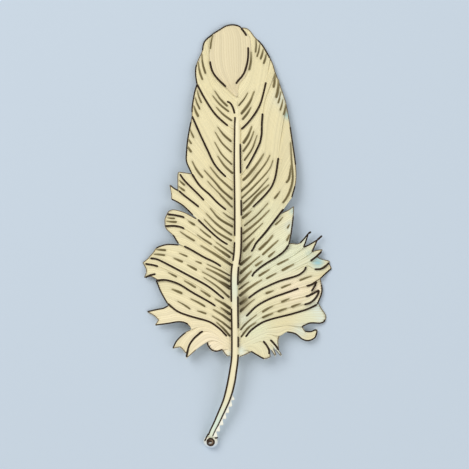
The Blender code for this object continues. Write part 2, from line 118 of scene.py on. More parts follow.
# The shaft's centre line on the grid, quill end first, with its half width there in millimetres.
SHAFT = [
    (209.9, 437.5, 0.8),
    (212.7, 430.5, 0.86),
    (216.4, 423, 0.92),
    (220.4, 414, 1.03),
    (224.4, 405, 1.1),
    (226.9, 398.5, 1.2),
    (229.4, 390, 1.36),
    (231.6, 380, 1.4),
    (233.2, 370, 1.33),
    (234.6, 360, 1.27),
    (235, 350, 1.25),
    (235, 330, 1.25),
    (234.6, 300, 1.3),
    (234.7, 272, 1.35),
    (237.5, 251, 1.35),
    (238, 216, 1.3),
    (237.3, 160, 1.2),
    (237.4, 118, 1.0),
    (236, 96, 0.7),
    (233, 64, 0.45),
]
SHAFT_SIDES = 28
SHAFT_RINGS = 150
SHAFT_FLATNESS = 0.85
SHAFT_RISE = 0.25 * MM
# Between these grid rows the shaft sinks under the barbs. The dark barbs beside it, painted shade of the
# crease, lie below its top.
SINK_ROWS = (129, 115)
SINK_GAP = 0.05 * MM
SHAFT_LINE_DROP = 0.42 * MM
SHAFT_LINE_INSET = 0.05 * MM
SHAFT_LINE_WIDTH = 0.47
# Stretches of the shaft that are clearer: their middle row on the grid, their reach and their strength.
CLEAR_STRETCHES = [(424, 7 * MM, 0.8), (288, 5.5 * MM, 0.45)]
GROOVE_DEPTH = 0.3
GROOVE_WIDTH = 0.55
GROOVE_START = 0.3

# The quill ends in a knob, wider than it is long, with a hollow in its top.
KNOB_CENTRE = (210.6, 442.4)
KNOB_RADIUS = 2.45 * MM
KNOB_WIDENING = 1.15
KNOB_HEIGHT = 1.9 * MM
KNOB_Z = 1.44 * MM
KNOB_LIP = 0.25 * MM
KNOB_FACES = (56, 40)
HOLE_RADIUS = 1.75 * MM
HOLE_FLOOR_Z = 2.35 * MM

# Dried pith in the hollow: a dark ring whose end turns in to the middle, and a pale curl inside it.
RING_RADIUS = 1.36 * MM
RING_HALF_WIDTH = 0.34 * MM
RING_ARC = (200, -150)
RING_TAIL = [(-1.15, -0.4), (-0.85, 0.1), (-0.45, 0.38), (0.05, 0.38), (0.32, 0.1), (0.05, -0.1)]
CURL_RADIUS = 0.8 * MM
CURL_HALF_WIDTH = 0.19 * MM
CURL_ARC = (125, -125)
PITH_Z = HOLE_FLOOR_Z + 0.3 * MM
COIL_RINGS = 90
COIL_TAPER = 14
COIL_END = 0.3
COIL_HEIGHT = 1.05
COIL_SIDES = 10

# The sheath fringe: a thin strip up the quill's right side, cut into teeth that sweep to the quill's end.
TEETH = 7
FRINGE_ROWS = (392.4, 436.3)
NOTCH_REACH = 0.65 * MM
TOOTH_REACH = 1.72 * MM
TOOTH_PEAK = 0.72
FRINGE_THICKNESS = 0.34 * MM
FRINGE_ROOT = 0.4
FRINGE_CLEAR = 0.75
FRINGE_SINK = 0.1 * MM
FRINGE_BULGE = 0.25 * MM
TOOTH_LIFT = 0.2 * MM
FACES_PER_TOOTH, FACES_OUTWARD = 14, 10

# Dark lines on the knob, where it meets the quill's left side and the last tooth.
KNOB_LINES = [[(208.4, 433.8), (206.5, 437.5), (204.6, 441.5)], [(214.9, 438.5), (218, 437.9)]]

# The camera's picture is this many grid steps wide at this height. A lamp has a size and a place.
PICTURE = 469
CAMERA_FOCUS_Z = 4 * MM
CAMERA_LENS, SENSOR_WIDTH = 150, 36
CAMERA_RANGE = (0.01, 20)
LAMPS = {"key": (0.9, (-0.75, 0.75, 1.1)), "fill": (1.4, (1.0, -0.6, 1.2))}
FLOOR_RADIUS = 4.0
FLOOR_GAP = 0.02 * MM

LEFT, RIGHT = 1, -1

# Lock edges on the grid, from the rim in to the shaft.
CAP_LEFT = [(213, 33), (210, 48), (210, 61), (214, 74), (226, 87), (236, 97)]
CAP_RIGHT = [(241, 27), (247, 37), (248, 57), (244, 73), (236, 84), (235, 96)]
LEFT_A = [(197, 84), (205, 99), (215, 114), (228, 126), (237, 131)]
LEFT_B = [(192, 116), (200, 134), (207, 149), (215, 165), (226, 177), (237.5, 185)]
LEFT_C = [(192, 174), (200, 186), (210, 195), (220, 205), (238, 219)]
TILE = [(178.5, 172), (185, 181), (199, 195), (214, 210), (238, 228)]
SPIKE = [(178, 190), (185, 196), (199, 207), (216, 222), (238, 239)]
LEFT_D = [(198, 219.5), (210, 231), (222, 241), (237.8, 250)]
FIST_TOP = [(167, 214), (177, 215.5), (186, 218.5), (202, 230), (220, 245), (237, 257)]
FIST_MID = [(165, 226), (176, 226), (186, 229.5), (204, 242), (221, 255), (236, 264)]
LEFT_G = [(178.5, 243.5), (190, 249), (204, 257), (217, 263.5), (235, 276)]
LEFT_H = [(148, 258.5), (156, 259), (167, 264), (188, 275), (208, 286), (224, 298.5), (234.6, 306)]
LEFT_H_LOW = [(143, 263.5), (158, 266.5), (180, 276), (203, 289), (221, 302), (234.6, 312)]
LEFT_I = [(156, 280.5), (166, 280), (179, 284), (193, 292.5), (213, 304), (234.7, 320)]
LEFT_J = [(167.5, 303.5), (178, 311.5), (191, 316.2), (209, 321.3), (219.4, 328.2), (227, 336), (235, 343)]
LEFT_FORK = [(191.9, 329.2), (197, 327.2), (206, 326.8), (216, 331.5), (234.9, 345)]
LEFT_K = [
    (186.5, 357), (188.8, 346.5), (192.8, 339.6), (197.4, 335),
    (203, 331), (210, 332), (219, 338), (234.8, 349),
]
LEFT_LOBE = [(207, 342), (214, 340.5), (224, 344.5), (234.6, 352)]
LEFT_ROUND = [(222.2, 349), (228, 349), (234.6, 355)]
LEFT_LAST = [(230, 355.5), (234.5, 357.5)]

RIGHT_C = [(270, 57.5), (268, 70), (266, 82), (261, 102), (254, 115), (245, 126), (237.4, 132)]
RIGHT_D = [(275, 71.5), (269, 88), (264, 103), (262, 120), (261, 138), (256, 151), (246, 169), (237.5, 178)]
RIGHT_E = [(286, 103), (283, 122), (279.5, 145), (278, 160), (274, 181), (265, 195), (238, 221)]
RIGHT_F = [(283.5, 209), (274.5, 220.5), (264.7, 233), (256, 243), (251, 251.5), (236.8, 262)]
RIGHT_L = [(288.6, 245), (284, 251), (276.7, 256.7), (263, 265.2), (254.3, 272.4), (250, 278), (234.8, 287)]
FAN_1 = [(303.5, 247.2), (292, 256), (276, 264.5), (260, 275), (247, 286), (234.7, 293)]
FAN_2 = [(312, 251.8), (302, 259), (285, 268), (266, 278), (250, 290), (234.7, 298)]
FAN_3 = [(310.5, 261), (294, 269), (270, 280.5), (252, 293), (234.7, 302)]
FAN_4 = [(314.7, 269.5), (306, 265.5), (290, 273.5), (270, 282.5), (252, 294.5), (234.7, 304.5)]
RIGHT_M = [(304.5, 270), (296, 276), (280, 280.7), (266, 286.7), (248, 298), (234.6, 309)]
RIGHT_O = [(298.7, 288.2), (285, 293), (271, 298), (257, 305.5), (246, 316), (234.8, 325)]
RIGHT_N = [(305.7, 296), (290, 300), (268, 307), (250, 319), (235, 331)]
RIGHT_N_LOW = [(304.7, 304.4), (288, 308), (266, 315), (250, 325), (235, 337)]
RIGHT_P = [
    (317.4, 304.7), (308, 309), (293, 313.6), (270, 319.3),
    (259.5, 323.8), (250, 331), (245.4, 336.6), (235, 344),
]
RIGHT_LOBE = [(302, 326.6), (286, 325.5), (268, 328.5), (252, 336), (234.9, 346.5)]
HOOK_LOW = [(279, 336), (268, 334.5), (254, 340), (234.8, 349)]
STRAND_TOP = [(278.6, 350), (274.4, 344), (268, 339), (256, 341.5), (234.7, 351)]
STRAND_MID = [(270, 344), (260, 341), (234.7, 352)]
RIGHT_FOOT = [(269.8, 352), (266.6, 344.5), (261, 341), (250, 343), (234.7, 352.5)]
RIGHT_ROUND = [(251, 351), (245, 349.5), (234.6, 355)]
RIGHT_LAST = [(239.8, 356.2), (234.5, 357.5)]


class Lock(NamedTuple):
    """One lock: its edges from the rim in, and its rim from the upper edge round to the lower one."""

    side: int
    upper: list
    rim: list
    lower: list
    upper_free: list = []
    lower_free: list = []
    level: float = 0.0
    lift: float = 0.3
    strips: int = 1


LOCKS = {
    "cap": Lock(
        LEFT,
        CAP_RIGHT,
        [(241, 27), (238.8, 25.3), (232.7, 24), (225.8, 25.3), (220, 28.8), (213, 33)],
        CAP_LEFT,
        level=0.55,
        lift=0.0,
    ),
    "left_shoulder": Lock(
        LEFT,
        CAP_LEFT,
        [(213, 33), (205.4, 39.5), (203, 45), (202, 51), (196.5, 64), (195.5, 74), (197, 84)],
        LEFT_A,
        strips=2,
    ),
    "left_a": Lock(LEFT, LEFT_A, [(197, 84), (194.6, 92), (192.3, 106), (192, 116)], LEFT_B, strips=2),
    "left_b": Lock(
        LEFT,
        LEFT_B,
        [(192, 116), (188, 137.5), (186.5, 153), (186.7, 162), (192, 174)],
        LEFT_C,
        strips=2,
    ),
    "left_c": Lock(LEFT, LEFT_C, [(192, 174), (185, 173), (178.5, 172)], TILE),
    "left_tile": Lock(LEFT, TILE, [(178.5, 172), (177.8, 176), (178, 190)], SPIKE),
    "left_spike": Lock(
        LEFT,
        SPIKE[1:],
        [(169.8, 184.9), (171.4, 193), (171.7, 199)],
        LEFT_D,
        upper_free=[(169.8, 184.9), (174.6, 188.7), (178.5, 190.6)],
        lower_free=[(171.7, 199), (181, 204), (187, 209), (193, 215)],
        lift=1.0,
    ),
    "left_fist_top": Lock(
        LEFT,
        LEFT_D,
        [(169.5, 210.8), (167, 214)],
        FIST_TOP,
        upper_free=[(169.5, 210.8), (175, 210), (185, 213), (196, 219)],
    ),
    "left_fist_mid": Lock(LEFT, FIST_TOP, [(167, 214), (165, 219), (165, 226)], FIST_MID),
    "left_fist_low": Lock(
        LEFT,
        FIST_MID,
        [(165, 226), (167, 229.7), (173, 235), (176, 239.5), (178.5, 243.5)],
        LEFT_G,
        lift=0.8,
    ),
    "left_g": Lock(
        LEFT,
        LEFT_G[1:],
        [(156, 248.3), (153.5, 252), (148, 258.5)],
        LEFT_H,
        upper_free=[(156, 248.3), (161, 246), (168, 244.5), (178.5, 245)],
        strips=3,
    ),
    "left_h": Lock(LEFT, LEFT_H, [(148, 258.5), (142.6, 263), (143, 263.5)], LEFT_H_LOW),
    "left_h_low": Lock(
        LEFT,
        LEFT_H_LOW,
        [(143, 263.5), (146.3, 270.5), (144.2, 277.6)],
        LEFT_I[1:],
        lower_free=[(144.2, 277.6), (151, 276.5), (158, 280)],
        lift=0.9,
    ),
    "left_belly": Lock(
        LEFT, LEFT_I, [(156, 280.5), (158.3, 286), (161, 292.4), (167.5, 303.5)], LEFT_J, strips=2
    ),
    "left_fork": Lock(
        LEFT,
        LEFT_J[1:],
        [(147, 312.1), (154, 315.6), (158.7, 320), (155.2, 325.2)],
        LEFT_FORK,
        upper_free=[(147, 312.1), (157, 309.7), (163, 308.5), (168, 306)],
        lower_free=[(155.2, 325.2), (168, 323.4), (179, 321.6), (186.3, 323), (190.5, 326.8)],
        lift=1.0,
    ),
    "left_k": Lock(
        LEFT,
        LEFT_FORK,
        [(172.8, 348.4), (177.4, 347.4), (181, 347.4), (186, 353)],
        LEFT_K[1:],
        upper_free=[(172.8, 348.4), (177, 340.5), (185, 333), (190.5, 330)],
        lower_free=[(186, 353)],
    ),
    "left_lobe": Lock(
        LEFT,
        LEFT_K,
        [(186.5, 357), (187.5, 357)],
        LEFT_LOBE,
        lower_free=[(187.5, 357), (196, 349.5)],
        lift=0.6,
    ),
    "left_round": Lock(
        LEFT,
        LEFT_LOBE,
        [(207, 342), (208.6, 346), (212, 349.6), (216, 350.8), (219.5, 350.2), (222.2, 349)],
        LEFT_ROUND,
    ),
    "left_last": Lock(LEFT, LEFT_ROUND, [(222.2, 349), (226.7, 354.8), (230, 355.5)], LEFT_LAST),
    "right_shoulder": Lock(
        RIGHT,
        CAP_RIGHT,
        [(241, 27), (246.5, 27.6), (250.4, 30.7), (254.2, 36), (262, 44), (270, 57.5)],
        RIGHT_C,
        strips=2,
    ),
    "right_c": Lock(RIGHT, RIGHT_C, [(270, 57.5), (272.7, 63.4), (275, 71.5)], RIGHT_D),
    "right_d": Lock(
        RIGHT, RIGHT_D, [(275, 71.5), (278, 79), (284, 96.5), (286, 103)], RIGHT_E, strips=2
    ),
    "right_e": Lock(
        RIGHT,
        RIGHT_E,
        [(286, 103), (288.5, 116), (292, 139), (295.5, 165), (295.6, 182), (291.7, 197.5)],
        RIGHT_F,
        lower_free=[(291.7, 197.5)],
        strips=2,
    ),
    "right_spike": Lock(
        RIGHT,
        RIGHT_F[1:],
        [(293.6, 206.6), (293.2, 216), (291, 233), (288.6, 245)],
        RIGHT_L,
        upper_free=[(293.6, 206.6), (288, 210.5), (282.5, 213)],
        lift=0.7,
        strips=2,
    ),
    "right_fan_1": Lock(
        RIGHT,
        RIGHT_L[1:],
        [(308.4, 233.4), (306.3, 240), (303.5, 247.2)],
        FAN_1,
        upper_free=[(308.4, 233.4), (303, 240), (298, 244), (290, 243.5)],
    ),
    "right_fan_2": Lock(
        RIGHT,
        FAN_1[1:],
        [(317.6, 239.8), (315.5, 244.4), (312, 251.8)],
        FAN_2,
        upper_free=[(317.6, 239.8), (309, 245), (303.5, 247.2)],
    ),
    "right_fan_3": Lock(
        RIGHT,
        FAN_2[1:],
        [(322, 249.7), (322, 250.5)],
        FAN_3,
        upper_free=[(322, 249.7), (317.6, 250.4), (312, 251.8)],
        lower_free=[(322, 250.5), (317.6, 255.7)],
        lift=0.5,
    ),
    "right_fan_4": Lock(
        RIGHT,
        FAN_3,
        [(329.6, 261.3), (329.6, 262.7)],
        FAN_4,
        upper_free=[(329.6, 261.3), (321, 259), (317, 256.5)],
        lower_free=[(329.6, 262.7), (321, 268.5)],
    ),
    "right_m": Lock(
        RIGHT,
        FAN_4[1:],
        [(309, 262), (306.5, 265.5)],
        RIGHT_M,
        upper_free=[(309, 262)],
        lower_free=[(306.5, 265.5)],
    ),
    "right_flank": Lock(
        RIGHT,
        RIGHT_M[1:],
        [(329.8, 264), (331.7, 268.7), (324, 275.4), (320.4, 278.6)],
        RIGHT_O,
        upper_free=[(329.8, 264), (321, 266.5), (309, 263)],
        lower_free=[(320.4, 278.6), (311, 284.2)],
        strips=2,
    ),
    "right_barb_top": Lock(
        RIGHT,
        RIGHT_O,
        [(316, 281.7), (314.7, 286), (311.6, 292.5)],
        RIGHT_N,
        upper_free=[(316, 281.7), (308, 285)],
        lower_free=[(311.6, 292.5)],
        lift=0.5,
    ),
    "right_barb_low": Lock(
        RIGHT,
        RIGHT_N,
        [(318, 290.3), (318, 291)],
        RIGHT_N_LOW,
        upper_free=[(318, 290.3), (311.6, 293.5)],
        lower_free=[(318, 291), (312.4, 300.5)],
        lift=0.5,
    ),
    "right_back": Lock(
        RIGHT,
        RIGHT_N,
        [(320.4, 278.6), (322.3, 288.5), (321.5, 295), (317.4, 304.7)],
        RIGHT_P,
        upper_free=[(320.4, 278.6), (310, 284)],
        level=-0.15,
        lift=0.0,
    ),
    "right_lobe": Lock(
        RIGHT,
        RIGHT_P,
        [(319, 303.5), (321, 308), (326, 316), (325, 321), (321, 323.4), (310, 323.2), (302, 326.6)],
        RIGHT_LOBE,
        lift=0.6,
    ),
    "right_hook": Lock(
        RIGHT,
        RIGHT_LOBE[1:],
        [(316, 329.8), (317.2, 331), (317, 333)],
        HOOK_LOW,
        upper_free=[(316, 329.8), (311, 332), (305, 331.5), (302, 327)],
        lower_free=[(317, 333), (315, 338), (308.5, 340.8), (302, 339), (295.5, 333.7), (287, 331.8)],
        lift=0.8,
    ),
    "right_hook_root": Lock(RIGHT, HOOK_LOW, [(279, 336), (277.8, 341), (278.6, 350)], STRAND_TOP),
    "strand_long": Lock(
        RIGHT,
        STRAND_TOP[1:],
        [(281.3, 354.4), (280.3, 355.2)],
        STRAND_MID,
        upper_free=[(281.3, 354.4), (278.6, 350)],
        lower_free=[(280.3, 355.2), (275.5, 349.5)],
    ),
    "strand_short": Lock(
        RIGHT,
        STRAND_MID,
        [(275.6, 354.4), (274.6, 355)],
        RIGHT_FOOT[2:],
        upper_free=[(275.6, 354.4), (273.4, 348.5)],
        lower_free=[(274.6, 355), (271.5, 350)],
    ),
    "right_foot": Lock(
        RIGHT,
        RIGHT_FOOT,
        [(269.8, 352), (270.2, 356.8), (264, 358.3), (257, 354.5), (251, 351)],
        RIGHT_ROUND,
        lift=0.5,
    ),
    "right_last": Lock(RIGHT, RIGHT_ROUND, [(251, 351), (246, 353.6), (239.8, 356.2)], RIGHT_LAST),
}

# Dark umber barbs: stretches of the lines between locks, each from one grid place to another. They are partly
# pigment and partly painted shade of the gap under each lock's edge.
DARK_STRETCHES = [
    (CAP_LEFT, (210.2, 61), (225.8, 86.8)),
    (CAP_RIGHT, (241.5, 27.2), (246.2, 35)),
    (CAP_RIGHT, (246.5, 46.5), (236, 83.8)),
    (LEFT_A, (197.3, 83.4), (227.5, 125.4)),
    (LEFT_B, (192, 115), (225.8, 177)),
    (LEFT_C, (192, 174), (226.7, 211)),
    (TILE, (179.2, 174), (205, 201)),
    (SPIKE, (178.5, 190.6), (199.3, 207.3)),
    (LEFT_D, (197.7, 219.5), (226.9, 243.5)),
    (FIST_TOP, (166.9, 214.7), (184.9, 218.2)),
    (FIST_MID, (165.6, 225.6), (184.6, 229)),
    (LEFT_G, (184.9, 245), (222, 267)),
    (LEFT_H, (150, 258.3), (223.9, 298.7)),
    (LEFT_H_LOW, (144, 264), (158.7, 266.6)),
    (LEFT_I, (156, 280), (216.9, 305.8)),
    (LEFT_J, (167.5, 303), (226.7, 335.7)),
    (LEFT_K, (186.2, 356.6), (202.8, 331.1)),
    (RIGHT_C, (266.2, 81.8), (240, 128.3)),
    (RIGHT_D, (262.7, 113), (245.7, 169.2)),
    (RIGHT_E, (278.3, 157.5), (254.8, 207)),
    (RIGHT_F, (289.4, 200), (252, 251.8)),
    (RIGHT_L, (288.6, 245), (251.5, 276.4)),
    (RIGHT_O, (298.7, 288.2), (246.2, 316)),
    (RIGHT_P, (317.4, 304.7), (245.4, 336.6)),
    (STRAND_TOP, (278.6, 350), (270, 340.4)),
]

# Dark umber barbs that follow no lock's edge, point by point: partly pigment and partly painted shade of the
# gaps they lie along.
DARK_LINES = [
    [(226.9, 101.5), (230.4, 103.4), (233, 108), (234.6, 113.8)],
    [(321.8, 251.4), (316.5, 256.5), (310.5, 261)],
    [(329.6, 262.7), (325.5, 266.6), (321, 269), (314.7, 269.4)],
    [(145, 277.6), (149.9, 275.5), (155.5, 274)],
    [(306.5, 286.1), (311.5, 284.6), (316.8, 281.6)],
    [(316.8, 281.7), (315, 286), (311.6, 291.4)],
    [(305.6, 296.6), (312, 294.5), (319.4, 290.2)],
    [(319.4, 290.3), (318.3, 294.4), (315.9, 298.3), (313, 301.1), (309.6, 303.2), (304.4, 304.7)],
    [(308.2, 233.7), (311.2, 231.7)],
    [(317.4, 240.1), (322.4, 235.6)],
    [(306, 266.6), (304.9, 269.8), (301.3, 273.3), (296, 276), (280, 280.7), (266, 286.7), (257, 291.5),
     (248.3, 298)],
    [(263, 340.7), (266.6, 345), (269, 350), (269, 354)],
]

# Stretches of the locks' outlines whose barb tips are dark, from one grid place to another.
DARK_RIMS = [
    ("cap", (213, 33), (241, 27)),
    ("left_shoulder", (213, 34), (202, 50)),
    ("left_shoulder", (196, 63.5), (197, 84)),
    ("left_a", (197, 84), (192, 112)),
    ("left_b", (190.3, 122), (192, 174)),
    ("left_spike", (170.5, 185.5), (178.5, 190.6)),
    ("left_spike", (171.7, 199), (193, 215)),
    ("left_fist_low", (173, 235), (178.5, 243.5)),
    ("left_g", (156, 248.3), (178.5, 245)),
    ("left_belly", (156, 280.5), (167.5, 303.5)),
    ("left_fork", (147, 312.1), (168, 306)),
    ("left_fork", (155.2, 325.2), (188, 324)),
    ("left_k", (172.8, 348.4), (185, 332)),
    ("left_round", (207, 342), (222.2, 349)),
    ("right_shoulder", (258, 39), (270, 57.5)),
    ("right_e", (289.5, 128), (295.5, 165)),
    ("right_e", (295, 186), (291.7, 197.5)),
    ("right_spike", (293, 216), (288.6, 245)),
    ("right_fan_1", (299.5, 242), (303.5, 247.2)),
    ("right_fan_2", (303.5, 247.2), (312, 251.8)),
    ("right_flank", (331.7, 268.7), (320.4, 278.6)),
    ("right_back", (321.5, 285), (317.4, 304.7)),
    ("right_lobe", (302, 326.6), (325, 320)),
    ("right_hook", (305, 331.5), (287, 331.8)),
    ("right_foot", (251, 351), (264, 358.3)),
]
# Locks whose upper free edge lies under the lock above, and locks whose whole rim lies on other locks.
COVERED_TOPS = ("right_flank", "right_back")
INNER_LOCKS = ("right_m", "right_barb_top", "right_barb_low")

# Painted shade of the crease where the vane meets each side of the shaft, laid as dark barbs: stretches down
# the grid.
SHAFT_LINES = {
    LEFT: [(117, 236), (242, 261.5), (264, 301.5), (308, 436)],
    RIGHT: [(144, 174), (200, 216), (227, 264), (266, 285), (296, 328), (336, 347), (354, 436)],
}

# Olive-brown barbs, each from its free end to the end nearer the shaft.
OLIVE_LEFT = [
    (213, 34, 210.3, 48.5), (201.7, 53, 205.5, 73.5), (198, 61, 202.5, 80), (197, 90, 201.5, 103),
    (195, 97, 200, 109.5), (193.5, 105, 198.5, 117), (189.6, 128, 194, 138), (188, 138, 191.5, 144),
    (187.5, 146, 191.5, 152.5), (214.5, 90.5, 227.5, 106.5), (212.5, 95.5, 229, 112),
    (216, 107, 232, 121), (217.5, 127, 231.5, 142), (215, 132, 231.5, 152.5), (214.5, 142, 232, 165),
    (217.5, 156, 233, 174), (192, 161, 203, 178), (210, 167, 219, 178, 232.7, 190.5),
    (204, 170, 214.7, 182, 222, 190.5, 232.5, 199.5), (207.3, 181, 216.7, 191.3, 232.5, 207.5),
    (210, 208, 219.3, 218.7, 233, 227), (223, 212.5, 234, 220), (206, 213, 217.3, 224.7, 232, 235),
    (204, 219, 232, 241), (179, 180, 185, 185.5), (178.5, 186, 185, 191), (167, 217.8, 175, 218.5),
    (166, 221, 177, 222), (188.5, 221, 195, 225), (200, 229, 211, 237.5), (180, 231.5, 195, 241),
    (197, 234.5, 212, 244.5), (216, 242, 233, 254), (156, 249.5, 166, 250.3),
    (153.5, 254.2, 165, 255.2), (179, 253, 187.5, 256.5), (173.5, 258, 183, 262),
    (195.5, 261, 202, 263.5), (187, 264.5, 197, 270), (168, 272.5, 177, 277), (207, 264, 230, 275.5),
    (202, 271.5, 230, 289), (203.5, 277, 229.6, 297.4), (184, 280.5, 196, 287.5),
    (171.5, 289, 182.5, 293.5), (200.5, 290, 210.5, 296.5), (190.5, 298.5, 205.5, 306.5),
    (177.5, 301, 190.5, 309), (197, 310.5, 206.5, 313.5), (213, 309, 231, 321),
    (212, 315.5, 231, 329), (216.4, 321.6, 230.3, 336),
]
OLIVE_RIGHT = [
    (256, 38, 255.5, 52), (260, 43, 257, 56.5), (263.5, 48, 260.5, 59), (266.5, 53, 263.5, 63.5),
    (251, 51, 249, 70), (281, 91, 278, 103.5), (283, 99, 280, 110.5), (286, 103, 283.5, 115),
    (248, 92.5, 238.5, 106), (251.2, 107, 242.2, 120), (254, 131, 243, 152), (257, 135, 244, 161),
    (270, 155, 266.5, 162, 259.5, 171.5, 250, 183, 240.5, 192),
    (273, 160, 270, 168, 264, 176, 256, 184.5, 250, 190.5, 241, 199),
    (268.5, 178, 257, 191, 243, 204), (280, 191, 274, 199), (251.5, 211, 242, 218.5),
    (268, 203, 256.5, 215.5, 244, 226), (269.5, 210, 258, 221.5, 242.5, 234),
    (263, 223, 251, 234.5, 243, 242), (283, 217, 275, 225), (289.5, 224, 287, 228.5),
    (289.5, 234, 286.5, 241), (278.5, 240, 262, 255),
    (275, 251, 268, 257), (262.5, 260.5, 255, 266),
    (260, 256, 255, 260, 245, 269, 240, 274),
    (249, 281.5, 238.5, 289.5), (288.5, 259, 277, 264.5), (294, 264, 281.5, 270.5),
    (269.5, 269, 258.5, 276), (276.5, 273, 266, 278.5), (312, 276, 299.5, 280.5), (291, 284, 281, 288),
    (274, 290.5, 265.5, 293.5), (254.5, 298.8, 240, 312),
    (256.7, 314.5, 249.5, 320, 244, 325.2, 240.4, 329.8),
    (256.3, 322, 249.5, 326.4, 244.4, 332, 240.8, 337), (273, 306, 262, 312), (273, 313, 262, 317.5),
    (287, 308, 277.5, 311.5), (289.5, 298.5, 281, 302), (301, 303.5, 291, 307),
]
# Broad olive barbs, several grown close together.
BROAD_LEFT = [
    (214, 246, 230.5, 257.5), (217, 279.5, 230, 287), (200.5, 245.3, 231.5, 265), (206, 268, 230.3, 281.3),
    (215, 298.5, 230.8, 308.5), (220.6, 307.2, 230.6, 314.5),
]
BROAD_RIGHT = [
    (275, 73, 273.5, 87.5), (278.5, 79, 276, 98), (254.5, 91, 241, 114.5), (252, 126, 243, 144),
    (263.8, 153.5, 259.3, 161, 249, 174.5, 242.5, 181), (269, 184.5, 256.5, 196, 250, 204, 242.5, 211.5),
    (254.5, 238, 250, 243, 243, 251.5), (262, 279.5, 250, 287, 239, 296),
    (273, 234.8, 268, 241, 258.6, 250), (251.2, 255.6, 246.5, 259.5, 240, 265), (250.5, 263.7, 240, 273.4),
    (251.6, 270.6, 246, 276, 239.2, 283), (247, 298.2, 239.6, 304), (247.5, 305, 240, 311),
]
# A long olive barb that runs down inside the right rim, and a shorter one beside it.
OLIVE_BANDS = [
    [(290.4, 142), (291.5, 160), (292.5, 180), (288, 195), (282.5, 203)],
    [(291, 165), (289, 178), (286, 183)],
]

# How far an olive barb bows towards the quill, as a share of its length: so much a metre, up to a limit.
# Lower down it bows less and then the other way: the share of that bow at these grid rows.
OLIVE_BOW = 5.6
MOST_BOW = 0.08
BOW_ROWS = [(225, 1.0), (245, 0.0), (300, -0.6)]

# Soft tints of the web: a colour, and where it lies, as grid place, radius on the grid and strength.
TINTS = {
    "green": (
        "#ECF0CF",
        [(292, 255, 26, 0.8), (312, 315, 16, 0.7), (262, 215, 26, 0.4), (255, 272, 24, 0.6),
         (254, 328, 20, 0.7)],
    ),
    # The warm tint is partly the web's own colour and partly painted light: it lightens places that tilt away
    # from the key light.
    "warm": (
        "#FFEECB",
        [(172, 322, 24, 0.5), (294, 290, 15, 0.9), (319, 290, 9, 0.9), (212, 346, 22, 0.9)],
    ),
    "ice": (
        "#E6F1E6",
        [(241, 351, 5, 0.7), (279, 350, 7, 0.8), (300, 331, 7, 0.6), (291, 226, 6, 0.7), (283, 98, 9, 0.5),
         (318, 308, 7, 0.7), (306, 241, 6, 0.5), (229, 354, 4, 0.5), (244, 318, 6, 0.35), (321, 320, 5, 0.6)],
    ),
    "blue": (
        "#A6D6DA",
        [(318, 262, 6, 1.0), (288, 115, 4, 0.8), (293, 211, 4, 0.6), (322, 304, 3, 0.7), (309, 253, 4, 0.3)],
    ),
}

# Painted shade: the web darkens softly round the olive barbs, in a band down each side of the shaft, and in a
# few spots.
HALO_REACH = 0.6 * MM
HALO_STRENGTH = 0.3
BAND_ROWS = (185, 330)
BAND_DISTANCE = 3.2 * MM
BAND_REACH = 2.2 * MM
BAND_FADE = 6 * MM
BAND_STRENGTH = 0.16
PAINTED_SHADE_SPOTS = [
    (244, 247, 5, 0.5), (228, 284, 5, 0.2), (252, 172, 5, 0.25), (242.5, 262, 4.5, 0.5),
    (241.5, 274, 4, 0.45), (241, 283, 4, 0.6), (241.5, 293, 4, 0.45), (242.5, 302, 6, 0.85),
    (245, 299, 4, 0.5), (242, 309, 4, 0.4), (230, 320, 5, 0.2),
]

# The olive barbs deepen towards the shaft: how far from it, and how much at these grid rows.
DEEP_REACH = 3.0 * MM
DEEP_ROWS = [(90, 0.2), (230, 0.35), (255, 0.75), (310, 0.8), (340, 0.5)]

# Olive barbs: how much their widths differ, how wide the broad ones are, and how narrow a free end is.
OLIVE_SEED = 11
OLIVE_RANGE = (0.8, 1.15)
BROAD_WIDTH = 1.3
OLIVE_FREE_END = 0.55
OLIVE_FLATNESS, BROAD_FLATNESS = 0.3, 0.25

# Rings in each kind of laid barb.
UMBER_RINGS, SHAFT_LINE_RINGS, EDGE_RINGS, OLIVE_RINGS, MARK_RINGS = 48, 80, 90, 24, 24

# How many places stand for a stretch of a line, for a whole line near others, and for the shaft's side.
STRETCH_PLACES, NEAR_PLACES, SIDE_PLACES = 40, 50, 60

# Places of an outline that are closer together than this many grid steps are one place.
SAME_PLACE = 0.6

# Free barb tips past the rims: short ones all round, and longer, curled ones on the downy locks.
TIP_LENGTH = 0.4 * MM
DOWN_LENGTH = 0.95 * MM
TIP_HALF_WIDTH = 0.08 * MM
TIP_RINGS = 6
TIP_SEED = 5
TIP_INSET = 0.97
TIP_SPREAD = (0.2, 0.8)
TIP_RANGE = (0.35, 1.0)
TIP_CURL = 0.7
TIP_CLEARANCE = 1.2
TIP_END = 0.25
TIP_SIDES = 5
DOWNY_LOCKS = (
    "left_fork", "left_k", "left_lobe", "left_round", "left_last", "right_lobe", "right_hook",
    "right_hook_root", "strand_long", "strand_short", "right_foot", "right_last",
)


def srgb(code):
    """A hex colour as linear red, green, blue and alpha."""
    levels = [int(code[start : start + 2], 16) / 255 for start in (1, 3, 5)]
    linear = [v / 12.92 if v <= 0.04045 else ((v + 0.055) / 1.055) ** 2.4 for v in levels]
    return (*linear, 1.0)


def colour_property(name, description, code):
    return FloatVectorProperty(
        name=name, description=description, subtype="COLOR", size=4, min=0, max=1, default=srgb(code)
    )


def length_property(name, description, default):
    return FloatProperty(
        name=name, description=description, unit="LENGTH", subtype="DISTANCE", precision=5, default=default
    )


